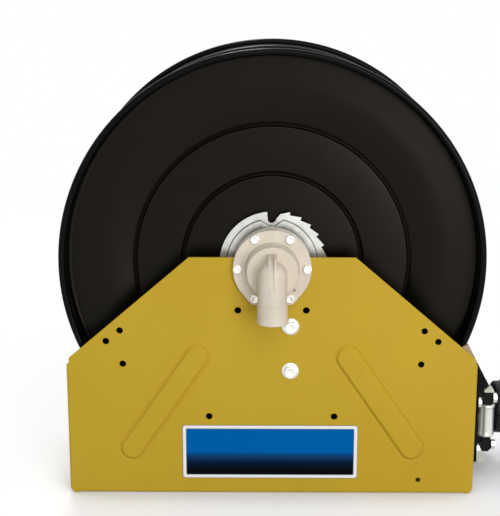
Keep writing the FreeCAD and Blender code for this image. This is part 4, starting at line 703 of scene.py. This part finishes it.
def roller(which, start, axis, length):
    """A waisted nylon roller with a rounded bead at each end and a bore for its pin."""
    half = [(0.0, 5.05), (0.0, 9.5), (0.4, 11.4), (1.4, 13.2), (2.8, 14.4), (4.2, 14.9), (6.2, 14.9), (7.2, 14.5),
            (7.9, 13.6), (8.6, 13.4), (length * 0.3, 13.4)]
    profile = half + [(length - along, radius) for along, radius in reversed(half)]
    piece = Piece(f"{which}_nylon_roller").lathe(start, axis, profile, 64, closed=True)
    return piece.finish(roller_nylon, f"{which}_roller", f"{which}_roller")


roller("near", (381.0, -43.4, 68.3), (0, 0, 1), 63.4)
roller("far", (381.0, 43.4, 68.3), (0, 0, 1), 63.4)
roller("lower", (335.5, -40.7, 61.0), (0, 1, 0), 81.4)
roller("upper", (335.5, -40.7, 155.0), (0, 1, 0), 81.4)


# Wear plate and hose stop

def rectangle(x, half, low, high, corner=1.0):
    """A ring with round corners across the hose, half as wide as its sides' distance from the middle."""
    ring = []
    for y, z, first in ((half, high, 0), (-half, high, 90), (-half, low, 180), (half, low, 270)):
        centre = Vector((x, y - math.copysign(corner, y), z + (corner if z == low else -corner)))
        for i in range(5):
            turn = math.radians(first + 22.5 * i)
            ring.append(centre + Vector((0, math.cos(turn), math.sin(turn))) * corner)
    return ring


def wear_plate():
    """The bright plate round the hose window: a horn at its near upper corner, a scoop with cheeks below."""
    back, face, half, low, high = 357.0, 361.0, 60.0, 48.0, 154.4
    piece = Piece("wear_plate")
    piece.skin([rectangle(back, half, low, high), rectangle(face - 0.4, half, low, high),
                rectangle(face, half - 0.4, low + 0.4, high - 0.4), rectangle(face, 32.4, 69.6, 146.4, 6.0),
                rectangle(face - 0.4, 32.0, 70.0, 146.0, 6.0), rectangle(back, 32.0, 70.0, 146.0, 6.0)], closed=True)

    def strip(outline, y0, y1):
        piece.skin([[(x, y, z) for x, z in outline] for y in (y0, y1)])

    strip([(back + 0.2, high - 1), (face - 0.2, high - 1), (face + 0.4, 156.2), (face + 7, 156.8), (face + 8, 159.0),
           (face - 0.6, 158.6), (back + 0.2, 157.0)], -40.0, half)
    strip([(372.9, 155.0), (372.9, 159.2), (376.0, 161.6), (381.0, 166.6), (383.2, 167.8), (385.4, 166.0),
           (389.6, 158.6), (390.4, 155.6), (388.8, 155.0)], -half, -56.5)
    strip([(back, low), (face, low + 1), (371.0, 45.0), (382.6, 21.4), (379.4, 20.8), (368.6, 41.6)],
          0.4 - half, half - 0.4)
    for y in (-half, half - 2.4):
        strip([(359.0, 48.0), (365.3, 43.8), (373.6, 43.2), (382.6, 21.2), (366.4, 25.8)], y, y + 2.4)
    return piece.finish(shaded_zinc, "frame", "chute_plate")


wear_plate()


def hose_collar():
    """The hose stop: two moulded halves with a stepped front, bolt wells and a gap between them."""
    level, length = 107.5, 62.0
    front = [(0.0, 19.0), (0.0, 38.0), (0.8, 39.6), (3.8, 44.6), (6.0, 46.2), (17.0, 46.8), (18.6, 48.4), (21.0, 52.6),
             (23.0, 54.0)]
    profile = softened(front + [(length - along, radius) for along, radius in reversed(front)], 0.8, 3)
    well = [(0, 9), (43.5, 9), (43.5, 4.05), (91.5, 4.05), (91.5, 9), (135, 9)]
    collar = Piece("hose_collar")
    collar.lathe((396.3, 0, level), (1, 0, 0), [(point.x, point.y) for point in profile], 96, closed=True)
    gap = Piece("gap")
    gap.skin([[(x, y, level + z) for y, z in ((-70, -1), (70, -1), (70, 1), (-70, 1))] for x in (390.0, 465.0)])
    wells = Piece("wells")
    for x, y in STOP_BOLTS:
        wells.lathe((x, y, 40.0), (0, 0, 1), well, 32)
    for tool in (gap, wells):
        collar = Piece(collar.name, carved(collar.to_object(), ("DIFFERENCE", tool)))
    return collar.finish(stop_rubber, "frame", "hose_stop")


collar = hose_collar()


# Hose

def smooth(share):
    share = min(max(share, 0.0), 1.0)
    return share * share * (3 - 2 * share)


def leaving_angle():
    """Where the straight run to the guide leaves the open layer, in degrees round the hub."""
    reach = math.hypot(GUIDE_POINT.x, GUIDE_POINT.z - HUB)
    return math.degrees(math.atan2(GUIDE_POINT.z - HUB, GUIDE_POINT.x) - math.acos(LAYER_RADIUS / reach))


# Angles along the wound hose in degrees: its start, climb, step across and resting turn, and where it leaves
START = -88.0 - 1080.0
LEAVE = leaving_angle()
RESTING = LEAVE - 720.0
CLIMB = RESTING - 150.0
ACROSS = RESTING - 60.0

POINTS_PER_TURN = 24
# The radius of a curve of order 3 as a share of the radius of its points
CURVE_SHARE = 0.25 * (3 + math.cos(2 * math.pi / POINTS_PER_TURN))


def wound_point(angle, outward=1.0):
    """The wound hose's middle at an angle; outward scales its distance from the hub."""
    radius = CHANNEL_RADIUS + (LAYER_RADIUS - CHANNEL_RADIUS) * smooth((angle - CLIMB) / 90.0)
    y = FIRST_TURN_Y + (RESTING_TURN_Y - FIRST_TURN_Y) * smooth((angle - ACROSS) / 60.0)
    y += TURN_PITCH * max(angle - RESTING, 0.0) / 360
    turn = math.radians(angle)
    return Vector((radius * outward * math.cos(turn), y, HUB + radius * outward * math.sin(turn)))


def spline_object(name, points, radius, material, body, finer=1):
    """A round strand on control points; finer is 0 for thin wire."""
    curve = bpy.data.curves.new(name, "CURVE")
    curve.dimensions = "3D"
    spline = curve.splines.new("NURBS")
    spline.points.add(len(points) - 1)
    for target, point in zip(spline.points, points):
        target.co = (*point, 1.0)
    spline.order_u = 3
    spline.use_endpoint_u = True
    spline.resolution_u = 2 + 2 * finer
    curve.bevel_depth = radius
    curve.bevel_resolution = 2 + 4 * finer
    curve.use_fill_caps = True
    curve.materials.append(material)
    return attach(linked(name, curve), body)


def wound_route():
    """Control points of the visible hose: the wound turns, the straight run through the guide and the tail."""
    steps = round((LEAVE - START) / 360 * POINTS_PER_TURN)
    points = [wound_point(START + (LEAVE - START) * i / steps, 1 / CURVE_SHARE) for i in range(steps)]
    last = wound_point(LEAVE)
    along = (last - wound_point(LEAVE - 0.01)).normalized()
    return points + [last, last + along * 0.160, GUIDE_POINT] + [Vector(point) for point in TAIL_ROUTE]


hose = spline_object("hose", wound_route(), HOSE / 2, hose_rubber, "frame")
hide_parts("hose_turns", "hose_lead")


def inner_layers():
    """The turns under the open ones, which turn with the spool: the lower layer runs across, the upper one back."""
    near, far, last = INNER_TURNS_Y
    lower = (DRUM_RADIUS + HOSE / 2) / CURVE_SHARE
    upper = (DRUM_RADIUS + LAYER + HOSE / 2) / CURVE_SHARE
    points = []
    for radius, y0, y1 in ((lower, near, far), (upper, far, last)):
        steps = round(abs(y1 - y0) / LAYER * POINTS_PER_TURN)
        for i in range(steps + 1):
            turn = 2 * math.pi * i / POINTS_PER_TURN
            points.append(Vector((radius * math.cos(turn), y0 + (y1 - y0) * i / steps, HUB + radius * math.sin(turn))))
    return points


layers = spline_object("inner_layers", inner_layers(), HOSE / 2, hose_rubber, "spool")
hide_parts("hose_core")


# Latch spring

def latch_spring():
    """The coil spring from the eye in the pawl's tail to the groove of the lower bolt, with a loop at each end."""
    eye, anchor = Vector(PAWL_EYE) / MM, Vector(SPRING_ANCHOR) / MM
    along = (anchor - eye).normalized()
    aside = Vector((0, 1, 0))
    across = along.cross(aside)
    coils, per_coil, radius, hook = 20, 12, 4.6, 12.8
    steps = coils * per_coil
    run = (anchor - eye).length - 2 * hook
    points = [eye + along * 6.5, eye + along * 8.0]
    for i in range(steps + 1):
        turn = 2 * math.pi * i / per_coil
        reach = radius * min(1.0, i / 6, (steps - i) / 6)
        place = eye + along * (hook + run * i / steps)
        points.append(place + across * (reach * math.cos(turn)) + aside * (reach * math.sin(turn)))
    points += [anchor - along * 9.0, anchor - along * 6.6]
    for i in range(10):
        turn = math.radians(35.0 * i)
        points.append(anchor + (along * -math.cos(turn) + across * math.sin(turn)) * 5.3)
    return [point * MM for point in points]


def bending_mesh(curve):
    """The curve's mesh in its place."""
    bpy.context.view_layer.update()
    found = curve.evaluated_get(bpy.context.evaluated_depsgraph_get())
    mesh = bpy.data.meshes.new_from_object(found)
    mesh.transform(curve.matrix_world)
    name = curve.name
    bpy.data.objects.remove(curve)
    return linked(name, mesh)


spring = bending_mesh(spline_object("latch_coil_spring", latch_spring(), 0.00075, spring_steel, "frame", 0))
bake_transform(spring)
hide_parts("pawl_spring")


# Hose end

def end_fitting():
    """A crimped ferrule over the hose, a hexagon and a threaded nipple with its bore."""
    start = Vector((750.0, 19.0, 24.0))
    along = Vector((66.0, 8.0, 0.0)).normalized()
    outside = [(-6.0, 19.1), (-6.0, 21.6), (-5.0, 22.6), (-3.0, 23.0)]
    for place in (9.0, 21.0, 33.0):
        outside += [(place, 23.0), (place + 1.2, 22.0), (place + 2.0, 21.7), (place + 5.0, 21.7), (place + 5.8, 22.0),
                    (place + 7.0, 23.0)]
    outside += [(52.0, 23.0), (54.2, 22.0), (55.0, 20.0), (69.0, 20.0), (69.0, 15.0), (71.0, 15.0)]
    place, pitch = 71.0, 2.3
    while place < 92.0:
        outside += [(place + 0.6, 16.6), (place + 1.2, 16.6), (place + pitch, 15.3)]
        place += pitch
    outside += [(94.4, 15.2), (95.0, 14.4), (95.0, 12.5), (4.0, 12.5), (4.0, 18.9)]
    piece = Piece("crimped_hose_end")
    piece.lathe(start, along, outside, 64, closed=True)
    across = 41.0
    corner = across / math.sqrt(3)
    ring = [(55.0, 13.0), (55.0, 19.6), (56.6, corner), (67.4, corner), (69.0, 19.6), (69.0, 13.0)]
    piece.lathe(start, along, ring, 48, closed=True, across=across)
    return piece.finish(zinc, "frame", "hose_end_fitting")


fitting = end_fitting()


# Camera, floor and light

# The camera as solved from the photograph: its place, its tilt and turn in radians, and its focal length
CAMERA_PLACE = (-0.0190, -2.1350, 0.8979)
CAMERA_TILT = 0.2371
CAMERA_TURN = -0.0088
FOCAL_PIXELS = 1250.3
PICTURE_PIXELS = 516
SENSOR = 36.0
FLOOR_RADIUS = 7.0


def aimed(name, data, place, look):
    """The camera or a lamp at its place, looking along a line."""
    obj = linked(name, data)
    obj.location = place
    obj.rotation_mode = "QUATERNION"
    obj.rotation_quaternion = look.to_track_quat("-Z", "Y")
    return obj


def lamp(name, place, target, size, power):
    data = bpy.data.lights.new(name, "AREA")
    data.size = size
    data.energy = power
    aimed(name, data, place, Vector(target) - Vector(place))


def seen_as_white(tree):
    """1 for what the camera sees, and what gloss and glass show of it, 0 for the light on the object."""
    path = tree.nodes.new("ShaderNodeLightPath")
    total = path.outputs["Is Camera Ray"]
    for name in ("Is Glossy Ray", "Is Transmission Ray"):
        either = tree.nodes.new("ShaderNodeMath")
        either.operation = "MAXIMUM"
        tree.links.new(total, either.inputs[0])
        tree.links.new(path.outputs[name], either.inputs[1])
        total = either.outputs[0]
    return total


def world_light(world):
    """Soft light all round; to the camera and in reflections the surround is plain white."""
    world.use_nodes = True
    tree = world.node_tree
    tree.nodes.clear()
    output = tree.nodes.new("ShaderNodeOutputWorld")
    light = tree.nodes.new("ShaderNodeBackground")
    seen = tree.nodes.new("ShaderNodeBackground")
    mix = tree.nodes.new("ShaderNodeMixShader")
    light.inputs["Strength"].default_value = 0.5
    light.inputs["Color"].default_value = rgb(1.0, 1.0, 1.0)
    seen.inputs["Strength"].default_value = 1.0
    seen.inputs["Color"].default_value = rgb(1.0, 1.0, 1.0)
    tree.links.new(seen_as_white(tree), mix.inputs[0])
    tree.links.new(light.outputs[0], mix.inputs[1])
    tree.links.new(seen.outputs[0], mix.inputs[2])
    tree.links.new(mix.outputs[0], output.inputs["Surface"])


def floor_finish():
    """A pale floor that shows a little brighter than it lights, less so near the object as a painted contact shadow,
    and fades into the white surround.
    """
    n = Nodes("pale_floor")
    n.finish(rgb(0.58, 0.58, 0.58), 0.8, specular=0.0)
    # painted contact shadow: the floor's glow dims where ambient occlusion finds the object near
    near = n.new("ShaderNodeAmbientOcclusion", samples=8)
    near.inputs["Distance"].default_value = 0.12
    glow_and_painted_shadow = n.math("MULTIPLY", seen_as_white(n.tree), n.span(near.outputs["AO"], 0.5, 0.8, 0.22, 0.47))
    n.link(glow_and_painted_shadow, n.shader.inputs["Emission Strength"])
    n.shader.inputs["Emission Color"].default_value = rgb(1.0, 1.0, 1.0)
    far = n.new("ShaderNodeVectorMath", operation="LENGTH")
    n.link(n.place, far.inputs[0])
    clear = n.new("ShaderNodeBsdfTransparent")
    mix = n.new("ShaderNodeMixShader")
    n.link(n.span(far.outputs["Value"], 1.2, 3.2), mix.inputs[0])
    n.link(n.shader.outputs[0], mix.inputs[1])
    n.link(clear.outputs[0], mix.inputs[2])
    output = [node for node in n.tree.nodes if node.type == "OUTPUT_MATERIAL"][0]
    n.link(mix.outputs[0], output.inputs["Surface"])
    return n.material


def stage():
    data = bpy.data.cameras.new("camera")
    data.sensor_width = SENSOR
    data.lens = FOCAL_PIXELS / PICTURE_PIXELS * SENSOR
    data.clip_start, data.clip_end = 0.05, 60.0
    look = Vector((math.sin(CAMERA_TURN) * math.cos(CAMERA_TILT), math.cos(CAMERA_TURN) * math.cos(CAMERA_TILT),
                   -math.sin(CAMERA_TILT)))
    bpy.context.scene.camera = aimed("camera", data, CAMERA_PLACE, look)

    mesh = bpy.data.meshes.new("floor")
    turns = [math.radians(angle) for angle in range(0, 360, 5)]
    rim = [(FLOOR_RADIUS * math.cos(turn), FLOOR_RADIUS * math.sin(turn), 0.0) for turn in turns]
    mesh.from_pydata(rim, [], [list(range(len(rim)))])
    mesh.materials.append(floor_finish())
    linked("floor", mesh)

    scene = bpy.context.scene
    scene.view_settings.view_transform = "Standard"
    scene.world = scene.world or bpy.data.worlds.new("world")
    world_light(scene.world)
    lamp("key", (0.6, -2.8, 2.3), (0, 0, 0.35), 2.2, 30.0)
    lamp("fill", (1.2, -2.7, 0.7), (0, 0, 0.35), 1.2, 24.0)
    lamp("rear", (-0.6, 2.2, 4.4), (0, 0, 0.2), 1.0, 90.0)


stage()
tuple(wound_point(START))
